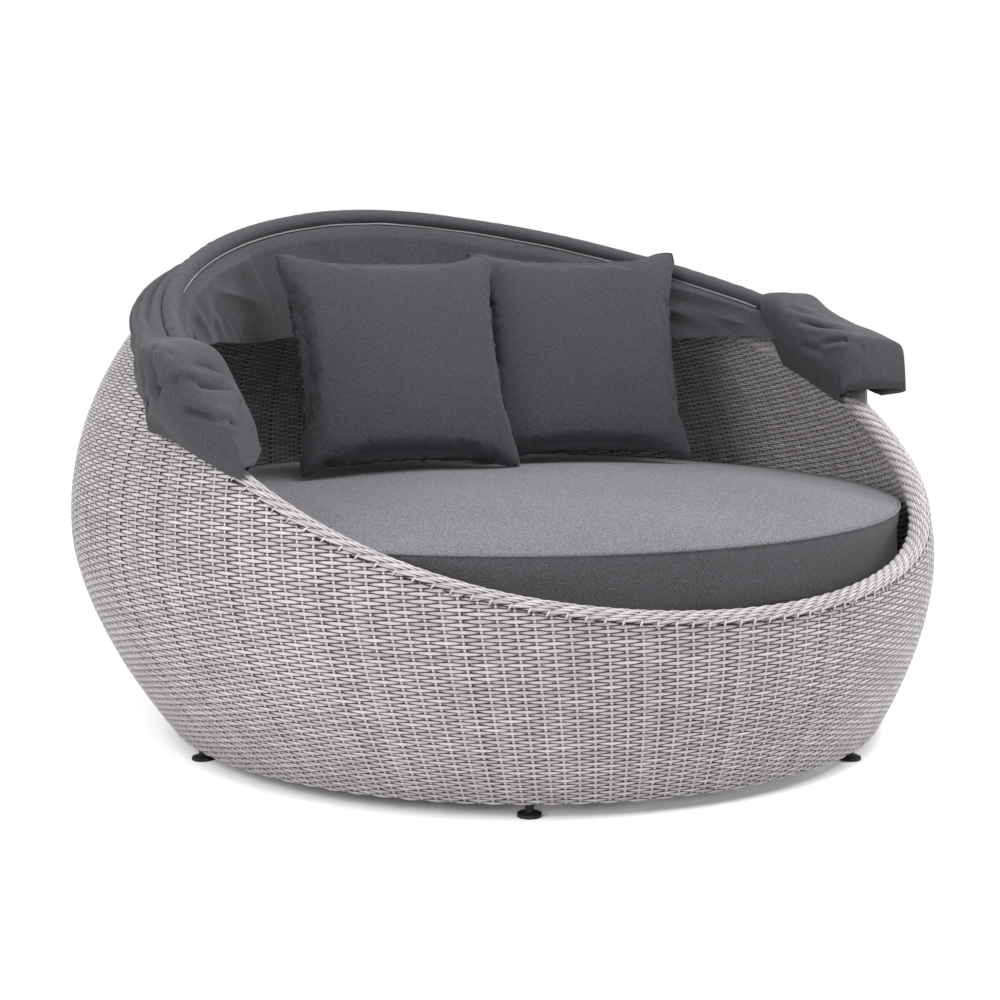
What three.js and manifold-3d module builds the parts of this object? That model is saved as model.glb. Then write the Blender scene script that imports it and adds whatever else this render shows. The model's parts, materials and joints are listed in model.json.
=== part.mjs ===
// Round outdoor daybed: a leaning woven bowl on a welded tube frame, a round seat cushion,
// two scatter pillows and a folding fabric canopy, laid back on the rear rim.
// Millimetres, +Z up, the front faces -Y. The origin is on the floor, in the middle of the base ring.

import * as THREE from 'three';
import { mergeVertices } from 'three/addons/utils/BufferGeometryUtils.js';
import Module from 'manifold-3d';

const wasm = await Module();
wasm.setup();

// Bowl: every level cut is a circle, and the circles lean back as they rise
const bowlRadius = 900;
const widestHeight = 405;
const baseRadius = 739;
const weaveFootHeight = 24;
const domeAboveRim = 162;
const lowerCurvePower = 1.73;
const upperCurvePower = 1.92;
const leanSlope = 0.243;

// Rim line, seen from the side: low in front, a shoulder near the canopy pivots, high behind
const rimFrontHeight = 364;
const rimShoulderForward = 100;
const rimShoulderHeight = 687;
const rimBackHeight = 985;
const rimFrontSlope = 0.326;
const rimShoulderSlope = 0.455;
const rimBackSlope = 0.27;

// Frame and weave
const fitGap = 0.3;
const skinGap = 0.8;
const skinTopGap = 1.5;
const weaveThickness = 6;
const ringTubeRadius = 12.5;
const ribTubeRadius = 9.5;
const braidThickness = 9;
const braidLeg = 16;
const baseRingHeight = 45;
const deckRingHeight = 300;
const ribCount = 12;
const cutOverrun = 5;

// Feet
const glideCount = 6;
const glidePadRadius = 22;
const glidePadHeight = 9;
const glideStemRadius = 8;
const glideInset = 10;
const footRadius = 55;
const footHeight = 12;
const postRadius = 24;
const postWall = 3;
const postFlangeRadius = 45;
const postFlangeHeight = 5;

// Seat deck
const slatCount = 9;
const slatWidth = 80;
const slatHeight = 18;
const slatWall = 2;
const slatSpreadShare = 0.826;
const slatEndSlack = 14;
const railWidth = 50;
const railHeight = 30;
const railWall = 3;

// Seat cushion
const cushionDepth = 128;
const cushionCrown = 45;
const cushionSideGap = 8;
const cushionEdgeRadius = 26;
const cushionDrawIn = 5;

// Scatter pillows
const pillowSize = 500;
const pillowThickness = 150;
const pillowDrawIn = 16;
const pillowEdge = 4;
const leftPillowAside = 131;
const leftPillowWallGap = 228;
const leftPillowYaw = -8.4;
const leftPillowLean = 21.4;
const rightPillowAside = 330;
const rightPillowWallGap = 132;
const rightPillowYaw = -18;
const rightPillowLean = 18.2;

// Canopy bows and their pivots
const pivotForward = 155;
const bracketRise = 107;
const stackRise = 77;
const stackInset = 54;
const bowDrop = 29.5;
const bowNest = 20;
const bowTubeRadius = 11;
const bowCurvePower = 1.78;
const eyeThickness = 8;
const eyeRadius = 14;
const eyeLength = 22;
const eyeTaper = 46;
const spacerLength = 18.4;
const spacerRadius = 8;
const boltRadius = 4;
const boltHeadRadius = 8;
const boltHeadHeight = 5;
const capNutRadius = 8;
const capNutLength = 11;
const bracketThickness = 6;
const bracketHubRadius = 12;
const bracketHubLength = 14.4;
const bracketEyeRadius = 15;
const bracketFootHalf = 30;

// Canopy fabric, folded
const fabricThickness = 4;
const sleeveRadius = 17;
const sleeveSeam = 1;
const rightClothStart = 0.4;
const leftClothStart = 0.26;
const leftFoldStart = 0.18;
const bootSlack = 0.9;
const rightSleeveStart = 0.33;
const leftSleeveStart = 0.11;
const backFallStart = 0.75;
const hemHeight = 770;
const rearPanelDrop = 75;
const middlePanelDrop = 30;
const panelStep = 15;
const middleFoldGap = 2.4;
const foldCount = 12;
const foldDepth = 9;
const bootRise = 120;
const bootSpread = 94;
const leftBootRear = 158;
const leftBootFront = 148;
const rightBootRear = 272;
const rightBootFront = 27;

// Facets
const facetsAround = 48;
const tubeSides = 8;
const ribSides = 6;
const fabricSteps = 40;

// Materials
const weaveLook = new THREE.MeshStandardMaterial({ color: 0xa79f9e, roughness: 0.55, metalness: 0 });
const frameLook = new THREE.MeshStandardMaterial({ color: 0x8d8a88, roughness: 0.45, metalness: 0.6 });
const bowLook = new THREE.MeshStandardMaterial({ color: 0x9a9a9c, roughness: 0.35, metalness: 0.85 });
const steelLook = new THREE.MeshStandardMaterial({ color: 0xc9cbcf, roughness: 0.25, metalness: 1 });
const footLook = new THREE.MeshStandardMaterial({ color: 0x1d1d1f, roughness: 0.6, metalness: 0 });
const cushionLook = new THREE.MeshStandardMaterial({ color: 0x56565b, roughness: 0.95, metalness: 0 });
const pillowLook = new THREE.MeshStandardMaterial({ color: 0x3f3f44, roughness: 0.95, metalness: 0 });
const canopyLook = new THREE.MeshStandardMaterial({ color: 0x35363a, roughness: 0.95, metalness: 0 });

const vec = (x, y, z) => new THREE.Vector3(x, y, z);
const radians = THREE.MathUtils.degToRad;
const lerp = THREE.MathUtils.lerp;
const steps = (count) => Array.from({ length: count }, (_, i) => i);
const smooth = (t) => THREE.MathUtils.smoothstep(t, 0, 1);

const daybed = new THREE.Group();

// Closed bodies

function faceOut(geometry) {
  const position = geometry.getAttribute('position');
  const index = geometry.getIndex();
  const corner = (i) => vec().fromBufferAttribute(position, index.getX(i));
  let volume = 0;
  for (let i = 0; i < index.count; i += 3) {
    volume += corner(i).dot(corner(i + 1).cross(corner(i + 2)));
  }
  if (volume < 0) {
    for (let i = 0; i < index.count; i += 3) {
      const first = index.getX(i);
      index.setX(i, index.getX(i + 1));
      index.setX(i + 1, first);
    }
  }
  return geometry;
}

function weld(geometry) {
  geometry.deleteAttribute('normal');
  geometry.deleteAttribute('uv');
  return faceOut(mergeVertices(geometry));
}

function toSolid(geometry) {
  const welded = weld(geometry);
  return new wasm.Manifold(new wasm.Mesh({
    numProp: 3,
    vertProperties: new Float32Array(welded.getAttribute('position').array),
    triVerts: new Uint32Array(welded.getIndex().array),
  }));
}

function fromSolid(solid) {
  const mesh = solid.getMesh();
  const geometry = new THREE.BufferGeometry();
  geometry.setAttribute('position', new THREE.BufferAttribute(mesh.vertProperties, 3));
  geometry.setIndex(new THREE.BufferAttribute(mesh.triVerts, 1));
  return geometry;
}

function cut(blank, cutters) {
  return fromSolid(cutters.reduce((solid, cutter) => solid.subtract(cutter), toSolid(blank)));
}

function join(blanks) {
  const solids = blanks.map(toSolid);
  return fromSolid(solids.reduce((whole, solid) => whole.add(solid)));
}

// A body through a row of closed outlines of equal count. Point j of an outline faces point
// last - j across it, so a flat strip of triangles between the two closes each end.
function loft(outlines, endless = false) {
  const count = outlines[0].length;
  const triangles = [];
  const at = (i, j) => (i % outlines.length) * count + (j % count);
  for (const i of steps(endless ? outlines.length : outlines.length - 1)) {
    for (const j of steps(count)) {
      triangles.push(at(i, j), at(i + 1, j), at(i + 1, j + 1));
      triangles.push(at(i, j), at(i + 1, j + 1), at(i, j + 1));
    }
  }
  if (!endless) {
    const end = outlines.length - 1;
    for (const j of steps(count / 2 - 1)) {
      const far = count - 1 - j;
      triangles.push(at(0, j), at(0, j + 1), at(0, far), at(0, j + 1), at(0, far - 1), at(0, far));
      triangles.push(at(end, j), at(end, far), at(end, j + 1));
      triangles.push(at(end, j + 1), at(end, far), at(end, far - 1));
    }
  }
  const geometry = new THREE.BufferGeometry();
  const numbers = outlines.flat().flatMap((point) => point.toArray());
  geometry.setAttribute('position', new THREE.Float32BufferAttribute(numbers, 3));
  geometry.setIndex(triangles);
  return faceOut(geometry);
}

// The many-sided circle whose flats lie at the given radius
const circle = (radius, sides) => steps(sides).map((i) => {
  const turn = 2 * Math.PI * (i + 1 / 2) / sides;
  const corner = radius / Math.cos(Math.PI / sides);
  return new THREE.Vector2(corner * Math.cos(turn), corner * Math.sin(turn));
});

// A route through given points, whose steps fall on the points themselves
class Route extends THREE.Curve {
  constructor(points) {
    super();
    this.points = points;
  }

  getPoint(t, target = vec()) {
    const place = t * (this.points.length - 1);
    const i = Math.min(Math.floor(place), this.points.length - 2);
    return target.lerpVectors(this.points[i], this.points[i + 1], place - i);
  }

  getUtoTmapping(u) {
    return u;
  }
}

function tube(points, radius, sides) {
  const section = new THREE.Shape(circle(radius, sides));
  return new THREE.ExtrudeGeometry(section, { extrudePath: new Route(points), steps: points.length - 1 });
}

// A tube bent into an endless hoop, through places that have a point and the way out of the wall
function hoop(places, radius) {
  const section = circle(radius, tubeSides);
  return loft(places.map(({ point, out }, i) => {
    const next = places[(i + 1) % places.length].point;
    const last = places[(i + places.length - 1) % places.length].point;
    const rise = next.clone().sub(last).cross(out).normalize();
    return section.map((p) => point.clone().addScaledVector(out, p.x).addScaledVector(rise, p.y));
  }), true);
}

// A turned piece whose axis is +Z, from pairs of radius and height
function turned(profile, sides) {
  return new THREE.LatheGeometry(profile.map(([r, z]) => new THREE.Vector2(r, z)), sides)
    .rotateX(Math.PI / 2);
}

function add(name, geometry, look) {
  const mesh = new THREE.Mesh(geometry, look.clone());
  mesh.name = name;
  daybed.add(mesh);
  return mesh;
}

// The wall: its outer face, its thickness and its rim

const wall = 2 * (weaveThickness + skinGap + ringTubeRadius);
const upperReach = rimBackHeight + domeAboveRim - widestHeight;
const centreAt = (level) => leanSlope * (level - weaveFootHeight);

function radiusAt(level) {
  if (level < widestHeight) {
    const below = (widestHeight - level) / (widestHeight - weaveFootHeight);
    return baseRadius + (bowlRadius - baseRadius) * (1 - below ** lowerCurvePower);
  }
  const above = (level - widestHeight) / upperReach;
  return bowlRadius * (1 - above ** upperCurvePower) ** (1 / upperCurvePower);
}

function flareAt(level) {
  if (level < widestHeight) {
    const span = widestHeight - weaveFootHeight;
    const below = (widestHeight - level) / span;
    return (bowlRadius - baseRadius) * lowerCurvePower * below ** (lowerCurvePower - 1) / span;
  }
  const above = (level - widestHeight) / upperReach;
  const rest = (1 - above ** upperCurvePower) ** (1 / upperCurvePower - 1);
  return -bowlRadius * above ** (upperCurvePower - 1) * rest / upperReach;
}

const wallNormal = (angle, level) => vec(
  Math.cos(angle),
  Math.sin(angle),
  -(flareAt(level) + leanSlope * Math.sin(angle)),
).normalize();

const climb = (angle, level) => vec(
  flareAt(level) * Math.cos(angle),
  leanSlope + flareAt(level) * Math.sin(angle),
  1,
);

function wallPoint(angle, level, depth = 0) {
  const radius = radiusAt(level);
  const face = vec(radius * Math.cos(angle), centreAt(level) + radius * Math.sin(angle), level);
  return face.addScaledVector(wallNormal(angle, level), -depth);
}

// The wall level whose point at the given depth lies at the given height
function levelFor(angle, height, depth) {
  let level = height;
  steps(12).forEach(() => {
    level += height - wallPoint(angle, level, depth).z;
  });
  return level;
}

function between(t, span, start, startSlope, end, endSlope) {
  return start * (1 + 2 * t) * (1 - t) ** 2 + startSlope * span * t * (1 - t) ** 2
    + end * t * t * (3 - 2 * t) - endSlope * span * t * t * (1 - t);
}

const rimFrontY = centreAt(rimFrontHeight) - radiusAt(rimFrontHeight);
const rimBackY = centreAt(rimBackHeight) + radiusAt(rimBackHeight);
const shoulderY = -rimShoulderForward;

function rimHeightAt(y) {
  if (y < shoulderY) {
    const span = shoulderY - rimFrontY;
    const t = (y - rimFrontY) / span;
    return between(t, span, rimFrontHeight, rimFrontSlope, rimShoulderHeight, rimShoulderSlope);
  }
  const span = rimBackY - shoulderY;
  const t = (y - shoulderY) / span;
  return between(t, span, rimShoulderHeight, rimShoulderSlope, rimBackHeight, rimBackSlope);
}

function rimLevel(angle) {
  let level = rimShoulderHeight;
  steps(60).forEach(() => {
    level = rimHeightAt(centreAt(level) + radiusAt(level) * Math.sin(angle));
  });
  return level;
}

// At the rim: along it, out of the wall and up across it
function rimFrame(angle) {
  const level = rimLevel(angle);
  const stride = Math.PI / 720;
  const before = angle - stride;
  const after = angle + stride;
  const along = wallPoint(after, rimLevel(after)).sub(wallPoint(before, rimLevel(before))).normalize();
  const up = wallNormal(angle, level).cross(along).normalize();
  return { level, edge: wallPoint(angle, level), along, up, out: along.clone().cross(up) };
}

function rimPlace(angle, out, up) {
  const rim = rimFrame(angle);
  return rim.edge.addScaledVector(rim.out, out).addScaledVector(rim.up, up);
}

const rimTubeDrop = braidThickness + fitGap + ringTubeRadius;
const rimTubeCentre = (angle) => rimPlace(angle, -wall / 2, -rimTubeDrop);

// The wall level whose point at the given depth lies a distance below the rim
function levelBelowRim(angle, distance, depth) {
  const rim = rimFrame(angle);
  const rise = climb(angle, rim.level).dot(rim.up);
  let level = rim.level;
  steps(6).forEach(() => {
    level -= (wallPoint(angle, level, depth).sub(rim.edge).dot(rim.up) + distance) / rise;
  });
  return level;
}

const turns = steps(facetsAround).map((i) => 2 * Math.PI * i / facetsAround - Math.PI / 2);
const deckRingDepth = wall / 2 + ribTubeRadius + fitGap + ringTubeRadius;
const weaveTopDrop = rimTubeDrop + braidLeg + skinTopGap;
const rowsBelowDeck = 2;
const rowsAboveDeck = 5;

function wallLevels(angle) {
  const base = levelFor(angle, baseRingHeight, wall / 2);
  const deck = levelFor(angle, deckRingHeight, deckRingDepth);
  const top = levelBelowRim(angle, weaveTopDrop, weaveThickness);
  return {
    base,
    below: steps(rowsBelowDeck).map((i) => lerp(base, deck, (i + 1) / rowsBelowDeck)),
    above: steps(rowsAboveDeck).map((i) => lerp(deck, top, (i + 1) / rowsAboveDeck)),
  };
}

function weaveSkin(levelsFor, depth) {
  return loft(turns.map((angle) => {
    const levels = levelsFor(angle);
    const outer = levels.map((level) => wallPoint(angle, level, depth));
    const inner = levels.map((level) => wallPoint(angle, level, depth + weaveThickness));
    return outer.concat(inner.reverse());
  }), true);
}

// Frame hoops: base ring, deck ring and the rim tube that follows the cut line

const wallPlace = (angle, level, depth) => ({
  point: wallPoint(angle, level, depth),
  out: wallNormal(angle, level),
});
const baseRingPath = turns.map((angle) => wallPlace(angle, wallLevels(angle).base, wall / 2));
const deckRingPath = turns.map((angle) => {
  const deck = wallLevels(angle).below.at(-1);
  return wallPlace(angle, deck, deckRingDepth);
});
const rimPath = turns.map((angle) => ({ point: rimTubeCentre(angle), out: rimFrame(angle).out }));

add('base_ring', hoop(baseRingPath, ringTubeRadius), frameLook);
add('deck_ring', hoop(deckRingPath, ringTubeRadius), frameLook);
add('rim_tube', hoop(rimPath, ringTubeRadius), frameLook);

const baseRingCut = toSolid(hoop(baseRingPath, ringTubeRadius + fitGap));
const deckRingCut = toSolid(hoop(deckRingPath, ringTubeRadius + fitGap));
const rimTubeCut = toSolid(hoop(rimPath, ringTubeRadius + fitGap));

// Ribs, coped to the base ring and to the rim tube, and notched where the deck ring crosses
for (const i of steps(ribCount)) {
  const angle = turns[i * facetsAround / ribCount];
  const levels = wallLevels(angle);
  const path = [levels.base, ...levels.below, ...levels.above]
    .map((level) => wallPoint(angle, level, wall / 2));
  path.push(rimTubeCentre(angle));
  const rib = tube(path, ribTubeRadius, ribSides);
  add(`wall_rib_${i + 1}`, cut(rib, [baseRingCut, deckRingCut, rimTubeCut]), frameLook);
}

// Woven skins, outside from the floor gap to the rim, inside from the deck up
add('outer_weave', weaveSkin((angle) => {
  const levels = wallLevels(angle);
  return [weaveFootHeight, levels.base, ...levels.below, ...levels.above];
}, 0), weaveLook);

const ringReach = ringTubeRadius / Math.cos(Math.PI / tubeSides);
const deckTop = deckRingHeight + ringReach;
const innerWeaveFoot = deckTop + fitGap;
add('inner_weave', weaveSkin((angle) => {
  const foot = Math.max(
    levelFor(angle, innerWeaveFoot, wall),
    levelFor(angle, innerWeaveFoot, wall - weaveThickness),
  );
  const top = levelBelowRim(angle, weaveTopDrop, wall);
  return steps(rowsAboveDeck + 1).map((i) => lerp(foot, top, i / rowsAboveDeck));
}, wall - weaveThickness), weaveLook);

// Braided edge: a saddle over the rim tube, with a leg down to each skin
function braidOutline(angle) {
  const saddle = (radius) => {
    const arc = circle(radius, tubeSides).slice(0, tubeSides / 2).map((p) => [p.x, p.y]);
    return [[radius, -braidLeg], ...arc, [-radius, -braidLeg]];
  };
  const innerRadius = ringTubeRadius + fitGap;
  return saddle(innerRadius + braidThickness).concat(saddle(innerRadius).reverse())
    .map(([out, up]) => rimPlace(angle, out - wall / 2, up - rimTubeDrop));
}

// Canopy pivots: a bracket stands on the rim tube each side, and one bolt carries the three bows

function angleAtY(y) {
  let low = -Math.PI / 2;
  let high = Math.PI / 2;
  steps(50).forEach(() => {
    const middle = (low + high) / 2;
    if (rimTubeCentre(middle).y < y) {
      low = middle;
    } else {
      high = middle;
    }
  });
  return (low + high) / 2;
}

const pivotY = -pivotForward;
const bracketAngle = angleAtY(pivotY);
const bracketX = rimTubeCentre(bracketAngle).x;
const pivotZ = rimHeightAt(pivotY) + bracketRise;
const mirrorX = (geometry) => faceOut(mergeVertices(geometry.clone().scale(-1, 1, 1)));

function alongX(profile, sides, x) {
  return turned(profile, sides).rotateY(Math.PI / 2).translate(x, pivotY, pivotZ);
}

function bracketPlate(grow) {
  const foot = [-1, 1].map((side) => {
    const centre = rimTubeCentre(bracketAngle);
    return centre.addScaledVector(rimFrame(bracketAngle).along, side * (bracketFootHalf + grow));
  });
  const outline = new THREE.Shape();
  outline.moveTo(foot[0].y, foot[0].z);
  outline.lineTo(foot[1].y, foot[1].z);
  outline.absarc(pivotY, pivotZ, bracketEyeRadius + grow, 0, Math.PI);
  outline.closePath();
  const thickness = bracketThickness + 2 * grow;
  return new THREE.ExtrudeGeometry(outline, { depth: thickness, bevelEnabled: false, curveSegments: 6 })
    .rotateX(Math.PI / 2)
    .rotateZ(Math.PI / 2)
    .translate(bracketX - thickness / 2, 0, 0);
}

const boltHole = boltRadius + fitGap;
const drill = (span, x) => toSolid(alongX([
  [0, -span / 2], [boltHole, -span / 2], [boltHole, span / 2], [0, span / 2],
], 12, x));
const hub = alongX([
  [0, -bracketHubLength / 2], [bracketHubRadius, -bracketHubLength / 2],
  [bracketHubRadius, bracketHubLength / 2], [0, bracketHubLength / 2],
], 16, bracketX);
const bracket = cut(join([bracketPlate(0), hub]), [
  drill(bracketHubLength + 2 * cutOverrun, bracketX),
  rimTubeCut,
]);
const bracketSlots = [bracketPlate(fitGap), mirrorX(bracketPlate(fitGap))].map(toSolid);
add('rim_braid', cut(loft(turns.map(braidOutline), true), bracketSlots), weaveLook);
add('right_canopy_bracket', bracket, frameLook);
add('left_canopy_bracket', mirrorX(bracket), frameLook);

// Bows: half ellipse tubes, nested outwards from front to rear, with flattened ends
const eyePitch = eyeThickness + spacerLength + 2 * fitGap;
const frontBowX = bracketX + (bracketHubLength + eyeThickness) / 2 + fitGap;
const apexY = rimBackY - stackInset;
const apexZ = rimBackHeight + stackRise;
const bows = ['front', 'middle', 'rear'].map((name, i) => {
  const reachY = apexY - pivotY + i * bowNest;
  const reachZ = apexZ - pivotZ - i * bowDrop;
  return {
    name,
    half: frontBowX + i * eyePitch,
    reach: Math.hypot(reachY, reachZ),
    tilt: Math.atan2(reachZ, reachY),
  };
});
const [frontBow, middleBow, rearBow] = bows;

const bowPoint = (bow, x, run) => vec(
  x,
  pivotY + run * Math.cos(bow.tilt),
  pivotZ + run * Math.sin(bow.tilt),
);

function bowAt(bow, turn) {
  const x = bow.half * Math.sign(Math.cos(turn)) * Math.abs(Math.cos(turn)) ** (2 / bowCurvePower);
  const run = bow.reach * Math.sin(turn) ** (2 / bowCurvePower);
  return bowPoint(bow, x, run);
}

// Along the bow, outwards in its plane, and up across its plane
function bowFrame(bow, turn) {
  const stride = Math.PI / 720;
  const along = bowAt(bow, Math.min(turn + stride, Math.PI)).sub(bowAt(bow, Math.max(turn - stride, 0)));
  along.normalize();
  const up = vec(0, -Math.sin(bow.tilt), Math.cos(bow.tilt));
  return { centre: bowAt(bow, turn), along, up, out: along.clone().cross(up).normalize() };
}

const bowBends = 28;
const bowTurns = steps(bowBends + 1).map((i) => Math.PI * i / bowBends);

function bowTube(bow) {
  const places = bowTurns.map((turn) => {
    const { centre, up, out } = bowFrame(bow, turn);
    return { centre, up, out, run: centre.clone().sub(bowPoint(bow, centre.x, 0)).length() };
  });
  const end = (side, run) => ({
    centre: bowPoint(bow, side * bow.half, run),
    up: places[0].up,
    out: vec(side, 0, 0),
    run: Math.abs(run),
  });
  const ends = [-eyeRadius, 0, eyeLength];
  const middle = places.filter((place) => place.run > eyeLength + eyeTaper / 2);
  const rings = [
    ...ends.map((run) => end(1, run)), ...middle, ...ends.map((run) => end(-1, run)).reverse(),
  ].map(({ centre, up, out, run }) => {
    const round = smooth((run - eyeLength) / eyeTaper);
    const flat = lerp(eyeThickness / 2, bowTubeRadius, round);
    const wide = lerp(eyeRadius, bowTubeRadius, round);
    return circle(1, tubeSides).map((p) => centre.clone()
      .addScaledVector(out, p.x * flat).addScaledVector(up, p.y * wide));
  });
  const span = eyeThickness + 2 * cutOverrun;
  return cut(loft(rings), [drill(span, bow.half), drill(span, -bow.half)]);
}

for (const bow of bows) {
  add(`${bow.name}_canopy_bow`, bowTube(bow), bowLook);
}

// One bolt each side, its head inside the bracket, a spacer between bows and a cap nut outside
const headX = bracketX - bracketHubLength / 2 - fitGap;
const nutX = rearBow.half + eyeThickness / 2 + fitGap;
const threadX = nutX + capNutLength - boltRadius;
const bolt = alongX([
  [0, headX - boltHeadHeight], [boltHeadRadius / 2, headX - boltHeadHeight],
  [boltHeadRadius, headX - boltHeadHeight / 2], [boltHeadRadius, headX],
  [boltRadius, headX], [boltRadius, threadX], [0, threadX],
], 12, 0);
const boreEnd = capNutLength - boltRadius + fitGap;
const capNut = alongX([
  [boltHole, 0], [capNutRadius, 0], [capNutRadius, capNutLength / 2],
  [capNutRadius / 2, capNutLength], [0, capNutLength], [0, boreEnd], [boltHole, boreEnd], [boltHole, 0],
], 12, nutX);
const spacer = (bow) => alongX([
  [boltHole, 0], [spacerRadius, 0], [spacerRadius, spacerLength], [boltHole, spacerLength], [boltHole, 0],
], 12, bow.half + eyeThickness / 2 + fitGap);
const hardware = {
  pivot_bolt: bolt, pivot_cap_nut: capNut,
  inner_pivot_spacer: spacer(frontBow), outer_pivot_spacer: spacer(middleBow),
};
for (const [name, geometry] of Object.entries(hardware)) {
  const piece = weld(geometry);
  add(`right_${name}`, piece, steelLook);
  add(`left_${name}`, mirrorX(piece), steelLook);
}

// Feet: glides coped to the base ring, and a post in the middle under the deck rail

const glideStep = facetsAround / glideCount;
for (const i of steps(glideCount)) {
  const seat = baseRingPath[(i + 1 / 2) * glideStep].point.clone();
  const stemTop = seat.z - ringTubeRadius / 2;
  seat.sub(seat.clone().setZ(0).setLength(glideInset));
  const blank = turned([
    [0, 0], [glidePadRadius, 0], [glidePadRadius, glidePadHeight * 2 / 3],
    [glideStemRadius, glidePadHeight], [glideStemRadius, stemTop], [0, stemTop],
  ], 10).translate(seat.x, seat.y, 0);
  add(`foot_glide_${i + 1}`, cut(blank, [baseRingCut]), footLook);
}

const railBottom = deckTop - railHeight;
const postTop = railBottom - fitGap;
add('centre_foot', weld(turned([
  [0, 0], [footRadius, 0], [footRadius, footHeight * 2 / 3],
  [footRadius - footHeight / 3, footHeight], [0, footHeight],
], 20)), footLook);

const postFoot = footHeight + fitGap;
const postBore = postRadius - postWall;
add('centre_post', weld(turned([
  [postBore, postFoot], [postFlangeRadius, postFoot], [postFlangeRadius, postFoot + postFlangeHeight],
  [postRadius, postFoot + postFlangeHeight], [postRadius, postTop - postFlangeHeight],
  [postFlangeRadius, postTop - postFlangeHeight], [postFlangeRadius, postTop], [postBore, postTop],
  [postBore, postFoot],
], 16)), frameLook);

// Seat deck: a rail across the ring carries slats of rectangular tube

function boxTube(width, height, thickness, length) {
  const rectangle = (w, h) => new THREE.Path([[-1, -1], [1, -1], [1, 1], [-1, 1]]
    .map(([x, y]) => new THREE.Vector2(x * w / 2, y * h / 2)));
  const outline = new THREE.Shape(rectangle(width, height).getPoints());
  outline.holes.push(rectangle(width - 2 * thickness, height - 2 * thickness));
  return new THREE.ExtrudeGeometry(outline, { depth: length, bevelEnabled: false })
    .translate(0, 0, -length / 2);
}

const deckCentreY = centreAt(deckRingHeight);
const deckRingReach = Math.max(...deckRingPath.map(({ point }) => point.x));
const railReach = Math.sqrt(deckRingReach ** 2 - deckCentreY ** 2) - ringTubeRadius / 2;
const railBlank = boxTube(railWidth, railHeight, railWall, 2 * railReach)
  .rotateX(Math.PI / 2)
  .rotateZ(Math.PI / 2)
  .translate(0, 0, deckTop - railHeight / 2);
add('deck_rail', cut(railBlank, [deckRingCut]), frameLook);

const slatBottom = deckTop + fitGap;
const slatReach = radiusAt(slatBottom) - wall - slatEndSlack;
const slatPitch = 2 * slatReach * slatSpreadShare / (slatCount - 1);
for (const i of steps(slatCount)) {
  const x = (i - (slatCount - 1) / 2) * slatPitch;
  const length = 2 * Math.sqrt(slatReach ** 2 - (Math.abs(x) + slatWidth / 2) ** 2);
  const slat = boxTube(slatWidth, slatHeight, slatWall, length)
    .rotateX(Math.PI / 2)
    .translate(x, deckCentreY, slatBottom + slatHeight / 2);
  add(`deck_slat_${i + 1}`, weld(slat), frameLook);
}

// Seat cushion: a boxed round pad with a crowned top and sides drawn in between its seams

const cushionBottom = slatBottom + slatHeight + fitGap;
const cushionSeam = cushionBottom + cushionDepth;
const cushionY = centreAt((cushionBottom + cushionSeam) / 2);
const cushionShift = cushionY - centreAt(cushionBottom);
const cushionRadius = radiusAt(cushionBottom) - wall - cushionShift - cushionSideGap;

function crownAt(distance) {
  const share = Math.min(distance / cushionRadius, 1);
  return cushionSeam + cushionCrown * (1 - share ** 2) ** (3 / 4);
}

const crownRings = 6;
const cushionProfile = [
  [0, cushionBottom], [cushionRadius - cushionEdgeRadius, cushionBottom],
  [cushionRadius - cushionEdgeRadius / 4, cushionBottom + cushionEdgeRadius / 3],
  [cushionRadius, cushionBottom + cushionEdgeRadius],
  [cushionRadius - cushionDrawIn, (cushionBottom + cushionSeam) / 2],
  [cushionRadius, cushionSeam - cushionEdgeRadius / 3],
  ...steps(crownRings).map((i) => {
    const radius = cushionRadius * Math.cos(Math.PI / 2 * i / crownRings);
    return [radius, crownAt(radius)];
  }),
  [0, cushionSeam + cushionCrown],
];
add('seat_cushion', weld(turned(cushionProfile, facetsAround).translate(0, cushionY, 0)), cushionLook);

// Scatter pillows: knife edged squares, full in the middle, drawn in between their corners

function pillowGeometry() {
  const cells = 10;
  const half = pillowSize / 2;
  const outlines = steps(cells + 1).map((i) => {
    const v = Math.sin(Math.PI * (i / cells - 1 / 2));
    const face = (side) => steps(cells + 1).map((j) => {
      const u = Math.sin(Math.PI * (j / cells - 1 / 2));
      const pull = 1 - pillowDrawIn / half * (1 - u * u) * v * v;
      const pinch = 1 - pillowDrawIn / half * (1 - v * v) * u * u;
      const full = ((1 - u * u) * (1 - v * v)) ** (1 / 2);
      const depth = side * (pillowEdge / 2 + (pillowThickness - pillowEdge) / 2 * full);
      return vec(u * half * pinch, depth, v * half * pull);
    });
    return face(-1).concat(face(1).reverse());
  });
  return loft(outlines);
}

// A pillow is pushed back until its gap to the wall is right, and stands on the crown there
function placePillow(name, aside, wallGap, yaw, lean) {
  const geometry = pillowGeometry()
    .rotateX(-radians(lean))
    .rotateZ(radians(yaw))
    .translate(aside, 0, 0);
  const position = geometry.getAttribute('position');
  const corners = steps(position.count).map((i) => vec().fromBufferAttribute(position, i));
  const liftAt = (back) => Math.max(...corners.map(({ x, y, z }) => {
    return crownAt(Math.hypot(x, y + back - cushionY)) + fitGap - z;
  }));
  const gapAt = (back) => {
    const lift = liftAt(back);
    return Math.min(...corners.map(({ x, y, z }) => {
      const level = z + lift;
      const open = level > rimHeightAt(y + back);
      return open ? Infinity : radiusAt(level) - wall - Math.hypot(x, y + back - centreAt(level));
    }));
  };
  let near = 0;
  let far = radiusAt(rimBackHeight);
  steps(24).forEach(() => {
    const middle = (near + far) / 2;
    if (gapAt(middle) > wallGap) {
      near = middle;
    } else {
      far = middle;
    }
  });
  const mesh = add(name, geometry, pillowLook);
  mesh.position.set(0, near, liftAt(near));
}

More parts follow.
